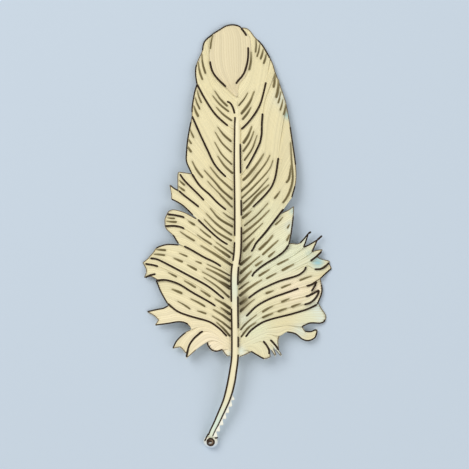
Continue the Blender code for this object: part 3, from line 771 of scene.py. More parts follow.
class VaneSettings(bpy.types.PropertyGroup):
    """Sizes of the barbs, and the colours of the vane."""

    pitch: length_property("Barb pitch", "Distance between neighbouring barbs", 0.8 * MM)
    ridge: length_property("Barb height", "How far a barb stands above the web", 0.16 * MM)
    web: length_property("Web", "Thickness of the web of barbs", 0.2 * MM)
    notch: length_property("Notch", "Depth of the notch between two barb tips", 0.55 * MM)
    cream: colour_property("Cream", "Main colour of the vane", "#F3E7B9")
    # The shade colour is painted shade, for the grooves between the barbs.
    shade: colour_property("Shade", "Colour between the barbs", "#D9C795")
    beige: colour_property("Beige", "Colour of the cap lock", "#E9DAB2")


class PigmentSettings(bpy.types.PropertyGroup):
    """Sizes and colours of the dark and the olive barbs."""

    umber_width: length_property("Umber width", "Width of a dark umber barb", 0.78 * MM)
    olive_width: length_property("Olive width", "Width of an olive-brown barb", 0.88 * MM)
    rim_width: length_property("Rim width", "Width of the dark tips along the rim", 0.56 * MM)
    edge_width: length_property("Edge width", "Width of the brown edge of the other rims", 0.3 * MM)
    # The umber colour is partly pigment and partly painted shade of the gaps between locks and of the crease
    # beside the shaft.
    umber: colour_property("Umber", "Colour of the dark barbs", "#2A1A0A")
    brown: colour_property("Brown", "Colour of the thin edge along the rims", "#6A5538")
    olive: colour_property("Olive", "Colour of the olive-brown barbs", "#5E5230")
    # The colour below is painted shade, for the web round the olive barbs and beside the shaft.
    dusk: colour_property("Dusk", "Colour of the web round the olive barbs", "#8E8462")


class QuillSettings(bpy.types.PropertyGroup):
    """Colours of the shaft, the sheath fringe and the pith."""

    horn: colour_property("Horn", "Colour of the shaft", "#FFF3C8")
    clear: colour_property("Clear", "Colour of the clear stretch of the quill", "#DCF0E0")
    # The sheath colour is near white, made paler still to offset the quill's shadow on the fringe: partly
    # painted light.
    sheath: colour_property("Sheath", "Colour of the sheath fringe", "#FFFEF2")
    glassy: colour_property("Glassy", "Colour of the knob at the quill's end", "#D8E6F4")
    pith: colour_property("Pith", "Colour of the dried pith", "#20160F")
    curl: colour_property("Curl", "Colour of the pith's inner curl", "#B79A7C")


class StageSettings(bpy.types.PropertyGroup):
    """The floor and the light."""

    floor: colour_property("Floor", "Colour of the floor", "#C9D5E0")
    key: FloatProperty(name="Key", description="Power of the main light", unit="POWER", default=12.1)
    fill: FloatProperty(name="Fill", description="Power of the fill light", unit="POWER", default=9.2)
    ambient: FloatProperty(name="Ambient", description="Strength of the light all round", default=0.5)


def from_grid(points):
    """Grid points as an array of metres in the feather's own frame."""
    grid = np.asarray(points, float)[:, :2]
    return (grid - GRID_CENTRE) * (GRID_STEP, -GRID_STEP)


def row_y(rows):
    """The y in metres of one or more rows of the grid."""
    return (GRID_CENTRE[1] - np.asarray(rows, float)) * GRID_STEP


def eased(part):
    """A share from 0 to 1, made to start and to end softly."""
    return part * part * (3 - 2 * part)


def smooth_curve(points, per_span=8):
    """A Catmull-Rom curve through the points, as a finer list of points."""
    points = np.asarray(points, float)
    if len(points) < 3:
        return points
    padded = np.vstack([2 * points[0] - points[1], points, 2 * points[-1] - points[-2]])
    steps = np.linspace(0, 1, per_span, endpoint=False)[:, None]
    spans = []
    for before, start, end, after in zip(padded, padded[1:], padded[2:], padded[3:]):
        spans.append(
            start
            + 0.5 * steps * (end - before)
            + steps**2 * (before - 2.5 * start + 2 * end - 0.5 * after)
            + steps**3 * (1.5 * start - 0.5 * before - 1.5 * end + 0.5 * after)
        )
    return np.vstack(spans + [points[-1:]])


def length_along(points):
    """The distance from the first point to each point, along the line."""
    return np.concatenate([[0], np.cumsum(np.linalg.norm(np.diff(points, axis=0), axis=1))])


def along(points, fractions):
    """The points at these fractions of a line's length."""
    run = length_along(points)
    wanted = np.asarray(fractions) * run[-1]
    return np.column_stack([np.interp(wanted, run, column) for column in points.T])


def rounded(points):
    """A curve through the points that keeps their sharp corners sharp."""
    points = np.asarray(points, float)
    steps = np.diff(points, axis=0)
    turns = np.abs(np.diff(np.unwrap(np.arctan2(steps[:, 1], steps[:, 0]))))
    corners = [0, *(np.flatnonzero(turns > SHARP_TURN) + 1), len(points) - 1]
    stretches = [smooth_curve(points[first : last + 1]) for first, last in zip(corners, corners[1:])]
    return np.vstack([stretch[:-1] for stretch in stretches] + [points[-1:]])


def tucked(points, side):
    """A shared edge moved under the lock above it, except where it meets the rim or the shaft."""
    direction = np.gradient(points, axis=0)
    across = np.column_stack([-direction[:, 1], direction[:, 0]]) * side
    across /= np.linalg.norm(across, axis=1)[:, None]
    share = np.interp(length_along(points), [0, TUCK_RUN], [0, 1])[:, None]
    return points + across * share * TUCK


SHAFT_LINE = smooth_curve(from_grid(SHAFT))
SHAFT_LINE_UP = SHAFT_LINE[np.argsort(SHAFT_LINE[:, 1])]


def shaft_z(y):
    """Height of the shaft's middle: a low arch from the quill's end to the tip."""
    part = np.clip(y / LENGTH + 0.5, 0, 1)
    return QUILL_Z + (TIP_Z - QUILL_Z) * part + ARCH * 4 * part * (1 - part)


def shaft_x(y):
    return np.interp(y, SHAFT_LINE_UP[:, 1], SHAFT_LINE_UP[:, 0])


def shaft_half_width(y):
    _, rows, half_widths = zip(*SHAFT)
    return np.interp(y, row_y(rows), np.array(half_widths) * MM)


def shaft_rise(y):
    """How far the shaft's middle stands over the vane's. Near the tip it sinks under the barbs."""
    start, end = row_y(SINK_ROWS)
    part = eased(np.clip((y - start) / (end - start), 0, 1))
    sunk = -SHAFT_FLATNESS * shaft_half_width(y) - SINK_GAP
    return SHAFT_RISE + part * (sunk - SHAFT_RISE)


def shaft_top(y):
    return shaft_z(y) + shaft_rise(y) + SHAFT_FLATNESS * shaft_half_width(y)


def vane_z(x, y):
    """Height of the vane's mid surface, which droops from the shaft to each side."""
    away = np.abs(x - shaft_x(y)) / WIDEST
    return shaft_z(y) - DROOP_AT_EDGE * away**DROOP_POWER


def above_floor(z):
    """Raises what would sink below the surface, without a kink."""
    return FLOOR_SOFTNESS * np.logaddexp(0, z / FLOOR_SOFTNESS)


def lock_edges(lock):
    """The lock's upper edge, rim and lower edge in metres. The edges run from the shaft out."""
    shared = from_grid(lock.upper)
    if lock.upper_free:
        run_in = tucked(np.vstack([from_grid(lock.upper_free)[-1:], shared]), lock.side)[1:]
        upper = np.vstack([from_grid(lock.upper_free), run_in])
    else:
        upper = tucked(shared, lock.side)
    lower = from_grid(list(lock.lower_free) + list(lock.lower))
    return smooth_curve(upper)[::-1], rounded(from_grid(lock.rim)), smooth_curve(lower)[::-1]


def lock_places(lock, across, out, relief=0.0):
    """Places on the lock: across from its lower edge to its upper one, out from the shaft to the rim."""
    upper, rim, lower = lock_edges(lock)
    low, high = along(lower, out), along(upper, out)
    straight_rim = lower[-1] + across[:, None] * (upper[-1] - lower[-1])
    flat = low + across[:, None] * (high - low)
    flat = flat + (out**RIM_FADE)[:, None] * (along(rim, 1 - across) - straight_rim)
    fold = np.cos(2 * math.pi * across * lock.strips)
    z = vane_z(flat[:, 0], flat[:, 1]) + lock.level * MM
    z = z + TILE_STEP * (0.5 - across) - CREASE * 0.5 * fold
    z = z + lock.lift * MM * (1 - across) * out**2
    depth = ROOT_DEPTH + (RIM_DEPTH - ROOT_DEPTH) * out
    z = above_floor(z - depth / 2) + LIE_IN_DEPTH * depth + relief
    return np.column_stack([flat, z])


def lock_reach(lock):
    upper, _, lower = lock_edges(lock)
    return max(length_along(upper)[-1], length_along(lower)[-1])


def barbs_in(lock, pitch):
    """How many barbs lie side by side in the lock."""
    upper, rim, lower = lock_edges(lock)
    middle = np.linalg.norm(along(upper, [0.5]) - along(lower, [0.5]))
    return max(3, round((middle + length_along(rim)[-1]) / 2 / pitch))


def places_of(data):
    """The vertices' places, as an array."""
    flat = np.empty(len(data.vertices) * 3, np.float32)
    data.vertices.foreach_get("co", flat)
    return flat.reshape(-1, 3).astype(float)


def put_places(data, places):
    data.vertices.foreach_set("co", np.asarray(places, np.float32).ravel())
    data.update()


def put_attribute(data, name, values):
    """Stores one number for each vertex, for a material to read."""
    attribute = data.attributes.new(name, "FLOAT", "POINT")
    attribute.data.foreach_set("value", np.asarray(values, np.float32))


def to_mesh(name, mesh):
    data = bpy.data.meshes.new(name)
    mesh.to_mesh(data)
    mesh.free()
    return data


def join(name, meshes):
    """One object out of several meshes."""
    parts = [bpy.data.objects.new(f"{name}_{index}", data) for index, data in enumerate(meshes)]
    for part in parts:
        bpy.context.scene.collection.objects.link(part)
    bpy.context.view_layer.objects.active = parts[0]
    bpy.ops.object.select_all(action="DESELECT")
    for part in parts:
        part.select_set(True)
    if len(parts) > 1:
        bpy.ops.object.join()
    joined = bpy.context.view_layer.objects.active
    joined.name = joined.data.name = name
    joined.select_set(False)
    return joined


def thicken(piece, thickness):
    """Gives a sheet its thickness, half of it on each side."""
    solid = piece.modifiers.new("Thickness", "SOLIDIFY")
    solid.thickness = thickness
    solid.offset = 0


def finish_piece(piece, material):
    """Smooth shading, its material, and its place in the feather."""
    piece.data.materials.clear()
    piece.data.materials.append(material)
    piece.data.shade_smooth()
    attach(piece, BODY)
    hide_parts(NODE)
    return piece


def tint(places, spots):
    """How strongly soft round spots colour each place, from 0 to 1."""
    total = np.zeros(len(places))
    for x, y, radius, strength in spots:
        centre = from_grid([(x, y)])[0]
        near = np.sum((places[:, :2] - centre) ** 2, axis=1) / (radius * GRID_STEP) ** 2
        total += strength * np.exp(-near)
    return np.clip(total, 0, 1)


def put_tints(data):
    """Stores how strongly each of the soft tints colours each place."""
    places = places_of(data)
    for name, (_, spots) in TINTS.items():
        put_attribute(data, name, tint(places, spots))


def lock_sheet(name, lock, vane, seed):
    """A lock as a sheet with a ridge for each barb, notched between the barb tips."""
    random = np.random.default_rng(seed)
    barbs = barbs_in(lock, vane.pitch)
    reach = lock_reach(lock)
    rows = int(np.clip(round(reach / ROW_LENGTH), FEWEST_ROWS, MOST_ROWS))
    mesh = bmesh.new()
    mesh.loops.layers.uv.new("UVMap")
    columns = barbs * COLUMNS_PER_BARB
    bmesh.ops.create_grid(mesh, x_segments=columns, y_segments=rows, size=0.5, calc_uvs=True)
    data = to_mesh(name, mesh)
    places = places_of(data)
    across, out = places[:, 0] + 0.5, places[:, 1] + 0.5
    barb = np.clip((across * barbs).astype(int), 0, barbs - 1)
    crest = np.abs(np.sin(math.pi * across * barbs))
    depths = vane.notch * random.uniform(*NOTCH_RANGE, barbs + 1)
    torn = (random.random(barbs + 1) < TORN_SHARE) & (lock.lift > 0)
    depths[torn] *= random.uniform(*TORN_RANGE, torn.sum())
    depths[[0, -1]] *= CORNER_NOTCH
    groove = np.clip(np.rint(across * barbs).astype(int), 0, barbs)
    share = np.minimum(depths[groove] / reach, DEEPEST_NOTCH)
    out = out - share * (1 - crest) * out**NOTCH_FADE
    heights = random.uniform(*HEIGHT_RANGE, barbs)
    put_places(data, lock_places(lock, across, out, vane.ridge * heights[barb] * (crest - 0.5)))
    uvs = np.empty(len(data.loops) * 2, np.float32)
    data.uv_layers[0].uv.foreach_get("vector", uvs)
    uvs = uvs.reshape(-1, 2) * (barbs, reach / vane.pitch)
    data.uv_layers[0].uv.foreach_set("vector", uvs.ravel())
    return data


def rod(rings, sides):
    """A closed straight rod along X, one unit long and one in radius, with evenly spaced rings."""
    mesh = bmesh.new()
    lying = Matrix.Translation((0.5, 0, 0)) @ Matrix.Rotation(math.pi / 2, 4, "Y")
    bmesh.ops.create_cone(
        mesh, cap_ends=True, segments=sides, radius1=1, radius2=1, depth=1, matrix=lying
    )
    long_edges = [edge for edge in mesh.edges if abs(edge.verts[0].co.x - edge.verts[1].co.x) > 0.5]
    bmesh.ops.subdivide_edges(mesh, edges=long_edges, cuts=rings - 2)
    return to_mesh("rod", mesh)


# Repeated rods stand this far apart along X, and each is one unit long.
ROD_SPACING = 2.0


def repeated(data, count):
    """The mesh repeated along X as one mesh, by an array that is applied."""
    single = bpy.data.objects.new("single", data)
    bpy.context.scene.collection.objects.link(single)
    array = single.modifiers.new("Array", "ARRAY")
    array.count = count
    array.use_relative_offset = False
    array.use_constant_offset = True
    array.constant_offset_displace = (ROD_SPACING, 0, 0)
    depsgraph = bpy.context.evaluated_depsgraph_get()
    many = bpy.data.meshes.new_from_object(single.evaluated_get(depsgraph))
    bpy.data.objects.remove(single)
    return many


def rods(paths, half_widths, half_heights, sides=8):
    """Closed rods along paths, as one mesh. Paths are count x rings x 3, the sizes count x rings."""
    paths = np.asarray(paths, float)
    count, rings = paths.shape[:2]
    data = repeated(rod(rings, sides), count)
    places = places_of(data)
    which = np.floor(places[:, 0] / ROD_SPACING + 0.25).astype(int)
    ring = np.rint((places[:, 0] - which * ROD_SPACING) * (rings - 1)).astype(int)
    heading = np.gradient(paths, axis=1)[..., :2]
    heading = heading / np.linalg.norm(heading, axis=2, keepdims=True)
    sideways = np.stack([-heading[..., 1], heading[..., 0]], axis=2)
    flank = np.abs(places[:, 1])
    bent = paths[which, ring]
    bent[:, :2] += sideways[which, ring] * (places[:, 1] * half_widths[which, ring])[:, None]
    bent[:, 2] += places[:, 2] * half_heights[which, ring]
    put_places(data, bent)
    put_attribute(data, "along", ring / (rings - 1))
    put_attribute(data, "which", which)
    put_attribute(data, "flank", flank)
    return data


# The round end of a laid barb: distances from its tip, and its width there, as shares of half its width.
END_STEPS = np.array([0.0, 0.12, 0.35, 0.7, 1.0])
END_WIDTHS = np.maximum(np.sqrt(1 - (1 - END_STEPS) ** 2), 0.3)
LONGEST_END = 0.3
# The free end widens over this share of the barb. Heights along it are evened out by these weights.
WIDENING = 0.6
WEIGHTS = [0.1, 0.2, 0.4, 0.2, 0.1]


def laid_rods(lines, half_widths, height, rings, free_end=1.0, flatness=0.55):
    """Rods with round ends that lie on a surface along flat lines, free end first.

    The free end's width is a share of the other end's. height gives the surface's height at flat places.
    """
    half_widths = np.broadcast_to(half_widths, len(lines))
    paths, sizes = [], []
    for line, half_width in zip(lines, half_widths):
        cap = min(half_width / length_along(line)[-1], LONGEST_END)
        middle = np.linspace(cap, 1 - cap, rings - 2 * len(END_STEPS) + 2)[1:-1]
        fractions = np.concatenate([END_STEPS * cap, middle, 1 - END_STEPS[::-1] * cap])
        widths = np.concatenate([END_WIDTHS, np.ones(len(middle)), END_WIDTHS[::-1]])
        widths = widths * np.interp(fractions, [0, WIDENING], [free_end, 1])
        flat = along(line, fractions)
        heading = np.gradient(flat, axis=0)
        sideways = np.column_stack([-heading[:, 1], heading[:, 0]])
        sideways *= half_width / np.maximum(np.linalg.norm(sideways, axis=1), 1e-9)[:, None]
        z = np.max([height(flat), height(flat + sideways), height(flat - sideways)], axis=0)
        z = np.convolve(np.pad(z, 2, mode="edge"), WEIGHTS, "valid")
        paths.append(np.column_stack([flat, z]))
        sizes.append(half_width * widths)
    sizes = np.array(sizes)
    return rods(paths, sizes, flatness * sizes)


def stretch(curve, start, end):
    """The stretch of a curve between two grid places beside it."""
    run = length_along(curve)
    nearest = [run[np.argmin(np.linalg.norm(curve - place, axis=1))] for place in from_grid([start, end])]
    first, last = sorted(nearest)
    return along(curve, np.linspace(first, last, STRETCH_PLACES) / run[-1])


def outline(lock, covered_top):
    """The part of a lock's outline that shows."""
    top = [] if covered_top else list(lock.upper_free)[::-1]
    points = top + list(lock.rim) + list(lock.lower_free)
    kept = [points[0]]
    for point in points[1:]:
        if math.dist(point, kept[-1]) > SAME_PLACE:
            kept.append(point)
    return rounded(from_grid(kept))


def stroke_line(side, stroke):
    """The curve of an olive barb. One with two points bows towards the quill."""
    points = from_grid(np.reshape(stroke, (-1, 2)))
    if len(points) > 2:
        return smooth_curve(points)
    start, end = points
    chord = end - start
    share = np.interp((stroke[1] + stroke[3]) / 2, *zip(*BOW_ROWS))
    bow = np.array([chord[1], -chord[0]]) * side * share
    bow *= min(OLIVE_BOW * np.linalg.norm(chord), MOST_BOW)
    return smooth_curve([start, (start + end) / 2 + bow, end])


def near_lines(lines):
    """A tree that finds the nearest place on the lines."""
    places = np.vstack([along(line, np.linspace(0, 1, NEAR_PLACES)) for line in lines])
    tree = KDTree(len(places))
    for index, (x, y) in enumerate(places):
        tree.insert((x, y, 0), index)
    tree.balance()
    return tree


def add_painted_shade(piece, tree):
    """Stores how much painted shade darkens the web at each of its places."""
    places = places_of(piece.data)
    gaps = np.array([tree.find((x, y, 0))[2] for x, y in places[:, :2]])
    halo = HALO_STRENGTH * np.exp(-((gaps / HALO_REACH) ** 2))
    y = places[:, 1]
    start, end = row_y(BAND_ROWS)
    rows = np.clip((start - y) / BAND_FADE, 0, 1) * np.clip((y - end) / BAND_FADE, 0, 1)
    away = np.abs(places[:, 0] - shaft_x(y)) - BAND_DISTANCE
    band = BAND_STRENGTH * rows * np.exp(-((away / BAND_REACH) ** 2))
    spots = tint(places, PAINTED_SHADE_SPOTS)
    put_attribute(piece.data, "dusk", 1 - (1 - halo) * (1 - band) * (1 - spots))


def tops_of(pieces):
    """A function that gives the height of these pieces at places seen from above."""
    depsgraph = bpy.context.evaluated_depsgraph_get()
    trees = [BVHTree.FromObject(piece, depsgraph) for piece in pieces]
    down = Vector((0, 0, -1))

    def height(flat):
        heights = []
        for x, y in flat:
            start = Vector((x, y, CAD_HIGH.z + 1 * MM))
            hits = [tree.ray_cast(start, down)[0] for tree in trees]
            found = [hit.z for hit in hits if hit]
            if not found:
                low = Vector((x, y, max(vane_z(x, y), 0)))
                nearest = min((tree.find_nearest(low) for tree in trees), key=lambda hit: hit[3])
                found = [nearest[0].z]
            heights.append(max(found))
        return np.array(heights)

    return height


def add_node(tree, kind, inputs=None, **settings):
    """Adds a node with its settings, and links or sets its inputs."""
    node = tree.nodes.new(kind)
    for name, value in settings.items():
        setattr(node, name, value)
    for name, value in (inputs or {}).items():
        if isinstance(value, bpy.types.NodeSocket):
            tree.links.new(value, node.inputs[name])
        else:
            node.inputs[name].default_value = value
    return node


def new_material(name, **surface):
    """A material with a Principled shader, whose plain values are set here."""
    material = bpy.data.materials.new(name)
    material.use_nodes = True
    shader = material.node_tree.nodes["Principled BSDF"]
    for socket, value in surface.items():
        shader.inputs[socket.replace("_", " ")].default_value = value
    return material, material.node_tree, shader


# The mix node's sockets for colours, which share their names with its sockets for numbers.
MIX_A, MIX_B, MIX_RESULT = 6, 7, 2


def mix_colours(tree, factor, first, second, blend="MIX"):
    node = add_node(
        tree,
        "ShaderNodeMix",
        {0: factor, MIX_A: first, MIX_B: second},
        data_type="RGBA",
        blend_type=blend,
    )
    return node.outputs[MIX_RESULT]


def attribute(tree, name):
    """What the mesh stores under this name."""
    return add_node(tree, "ShaderNodeAttribute", attribute_name=name).outputs["Fac"]


def chance(tree, which):
    """A number from 0 to 1 that differs from one barb to the next."""
    return add_node(tree, "ShaderNodeTexWhiteNoise", {"W": which}, noise_dimensions="1D").outputs["Value"]


def noise(tree, size, detail, squeeze=None):
    """Noise in the piece's own space, whose features are this many metres long."""
    place = add_node(tree, "ShaderNodeTexCoord").outputs["Object"]
    if squeeze:
        place = add_node(tree, "ShaderNodeMapping", {"Vector": place, "Scale": squeeze}).outputs[0]
    inputs = {"Vector": place, "Scale": 1 / size, "Detail": detail}
    return add_node(tree, "ShaderNodeTexNoise", inputs).outputs["Fac"]


def calculated(tree, operation, first, second=0.5):
    return add_node(tree, "ShaderNodeMath", {0: first, 1: second}, operation=operation).outputs[0]


def ranged(tree, value, start, end, low, high):
    """The value, taken from the range start to end over to the range low to high."""
    inputs = {"Value": value, "From Min": start, "From Max": end, "To Min": low, "To Max": high}
    return add_node(tree, "ShaderNodeMapRange", inputs).outputs[0]


def finish_material(tree, shader, colour, height=None, strength=0.0, distance=0.0):
    """Gives the shader its colour, and a fine relief where there is a pattern for it."""
    tree.links.new(colour, shader.inputs["Base Color"])
    if height:
        inputs = {"Height": height, "Strength": strength, "Distance": distance}
        bump = add_node(tree, "ShaderNodeBump", inputs)
        tree.links.new(bump.outputs[0], shader.inputs["Normal"])


def barb_material(settings, dusk):
    """Feather keratin, grown as barbs hooked into a web: soft cream, matt, with fine slanting barbules.

    It looks velvety, each barb a little lighter or darker than the next, with soft tints in places. Painted
    shade darkens the grooves between barbs and the web round the olive barbs.
    """
    material, tree, shader = new_material(
        "Cream barb web", Roughness=0.62, IOR=1.54, Sheen_Weight=0.12, Sheen_Roughness=0.5
    )
    uv = add_node(tree, "ShaderNodeUVMap", uv_map="UVMap").outputs["UV"]
    barb = add_node(tree, "ShaderNodeSeparateXYZ", {0: uv}).outputs["X"]
    colour = mix_colours(tree, noise(tree, 14 * MM, 4.0), settings.cream, srgb("#EFE2B5"))
    tints = {name: srgb(code) for name, (code, _) in TINTS.items()}
    # The last of these colours is painted shade, round the olive barbs and beside the shaft.
    for name, shade in {"beige": settings.beige, **tints, "dusk": dusk}.items():
        colour = mix_colours(tree, attribute(tree, name), colour, shade)
    # Painted shade: the web darkens in the grooves between the barbs.
    crest = calculated(tree, "ABSOLUTE", calculated(tree, "SUBTRACT", calculated(tree, "FRACT", barb)))
    groove = ranged(tree, crest, 0.25, 0.5, 0.0, 0.35)
    colour = mix_colours(tree, groove, colour, settings.shade)
    dim = ranged(tree, chance(tree, calculated(tree, "FLOOR", barb)), 0.0, 1.0, 0.93, 1.04)
    colour = mix_colours(tree, 1.0, colour, dim, "MULTIPLY")
    # Barbules are 0.05 mm apart on a real feather. Here they are 0.25 mm apart, so that they show.
    slant = add_node(
        tree,
        "ShaderNodeMapping",
        {"Vector": uv, "Rotation": (0, 0, math.radians(38)), "Scale": (1.3, 2.6, 1)},
    )
    barbules = add_node(
        tree,
        "ShaderNodeTexWave",
        {"Vector": slant.outputs[0], "Scale": 0.32, "Distortion": 0.6, "Detail": 1.0},
        bands_direction="Y",
    )
    finish_material(tree, shader, colour, barbules.outputs["Fac"], 0.25, 0.05 * MM)
    return material


def down_material():
    """Single free barbs of keratin: soft, matt and pale, each a little lighter or darker than the next."""
    material, tree, shader = new_material("Pale free barbs", Roughness=0.7, IOR=1.54, Sheen_Weight=0.15)
    odd = chance(tree, attribute(tree, "which"))
    colour = mix_colours(tree, odd, srgb("#F6EAC4"), srgb("#E4D6A8"))
    for name, (code, _) in TINTS.items():
        colour = mix_colours(tree, attribute(tree, name), colour, srgb(code))
    finish_material(tree, shader, colour)
    return material


def pigment_material(name, dark, light, fade=None, deep=None):
    """Melanin-rich keratin: a barb that grew dark, matt and sooty, with hardly any gloss.

    It may thin to a paler colour at its free end and flanks, and deepen near the shaft. The umber one is
    partly painted shade, where it lies in the gaps between locks and the crease beside the shaft.
    """
    material, tree, shader = new_material(name, Roughness=0.7, IOR=1.56, Specular_IOR_Level=0.2)
    speckle = noise(tree, 1.2 * MM, 3.0)
    odd = chance(tree, attribute(tree, "which"))
    colour = mix_colours(tree, calculated(tree, "MULTIPLY", speckle, odd), dark, light)
    if fade:
        for stored, start, end, most in (("along", 0.45, 0.0, 0.6), ("flank", 0.3, 1.0, 0.7)):
            pale = ranged(tree, attribute(tree, stored), start, end, 0.0, most)
            colour = mix_colours(tree, pale, colour, fade)
    if deep:
        colour = mix_colours(tree, attribute(tree, "deep"), colour, deep)
    finish_material(tree, shader, colour, speckle, 0.3, 0.05 * MM)
    return material


def horn_material(name, settings, clear_colour, roughness):
    """Solid keratin, grown as a smooth tube: waxy cream horn with a soft gloss and fine long streaks."""
    material, tree, shader = new_material(
        name, Roughness=roughness, IOR=1.54, Coat_Weight=0.06, Coat_Roughness=0.35
    )
    streaks = noise(tree, 0.45 * MM, 3.0, squeeze=(1, 0.06, 1))
    colour = mix_colours(tree, streaks, settings.horn, srgb("#F1E4BC"))
    colour = mix_colours(tree, attribute(tree, "clear"), colour, clear_colour)
    finish_material(tree, shader, colour, streaks, 0.2, 0.05 * MM)
    return material


def pith_material(name, code, roughness):
    """Dried pith: crumbly and matt, like old cork."""
    material, tree, shader = new_material(name, Roughness=roughness, IOR=1.45)
    crumbs = noise(tree, 0.5 * MM, 5.0)
    colour = mix_colours(tree, crumbs, code, srgb("#4A3524"))
    finish_material(tree, shader, colour, crumbs, 0.6, 0.2 * MM)
    return material


def shaft_at(grid_y):
    """Centre, half width and heading of the shaft at these heights on the grid."""
    y = row_y(grid_y)
    slope = (shaft_x(y + 1 * MM) - shaft_x(y - 1 * MM)) / (2 * MM)
    return np.column_stack([shaft_x(y), y]), shaft_half_width(y), slope


class FEATHER_OT_lay_vane(bpy.types.Operator):
    """Lays the locks of barbs on both sides of the shaft, and the cap lock over the tip"""

    bl_idname = "feather.lay_vane"
    bl_label = "Lay the vane"

    def execute(self, context):
        vane = context.scene.feather_vane
        material = barb_material(vane, context.scene.feather_pigment.dusk)
        groups = {"vane_left": [], "vane_right": [], "cap_lock": []}
        for seed, (name, lock) in enumerate(LOCKS.items()):
            side = "vane_left" if lock.side == LEFT else "vane_right"
            group = "cap_lock" if name == "cap" else side
            groups[group].append(lock_sheet(name, lock, vane, seed))
        for name, sheets in groups.items():
            piece = join(name, sheets)
            beige = np.full(len(piece.data.vertices), float(name == "cap_lock"))
            put_attribute(piece.data, "beige", beige)
            put_tints(piece.data)
            thicken(piece, vane.web)
            finish_piece(piece, material)
        return {"FINISHED"}


class FEATHER_OT_grow_shaft(bpy.types.Operator):
    """Grows the shaft: an oval tube that tapers to the tip, grooved underneath"""

    bl_idname = "feather.grow_shaft"
    bl_label = "Grow the shaft"

    def execute(self, context):
        centres = along(SHAFT_LINE, np.linspace(0, 1, SHAFT_RINGS))
        half = shaft_half_width(centres[:, 1])
        heights = shaft_z(centres[:, 1]) + shaft_rise(centres[:, 1])
        data = rods(
            [np.column_stack([centres, heights])],
            half[None],
            SHAFT_FLATNESS * half[None],
            SHAFT_SIDES,
        )
        places = places_of(data)
        ring = np.rint(np.array([item.value for item in data.attributes["along"].data]) * (SHAFT_RINGS - 1))
        ring = ring.astype(int)
        sideways = np.linalg.norm(places[:, :2] - centres[ring], axis=1) / half[ring]
        below = places[:, 2] < heights[ring] - GROOVE_START * half[ring]
        groove = np.where(below, np.clip(1 - sideways / GROOVE_WIDTH, 0, 1), 0)
        places[:, 2] += GROOVE_DEPTH * half[ring] * groove
        put_places(data, places)
        clear = np.zeros(len(places))
        for row, reach, strength in CLEAR_STRETCHES:
            clear += strength * np.exp(-(((places[:, 1] - row_y(row)) / reach) ** 2))
        put_attribute(data, "clear", clear)
        piece = join("shaft", [data])
        settings = context.scene.feather_quill
        finish_piece(piece, horn_material("Cream horn shaft", settings, settings.clear, 0.45))
        return {"FINISHED"}


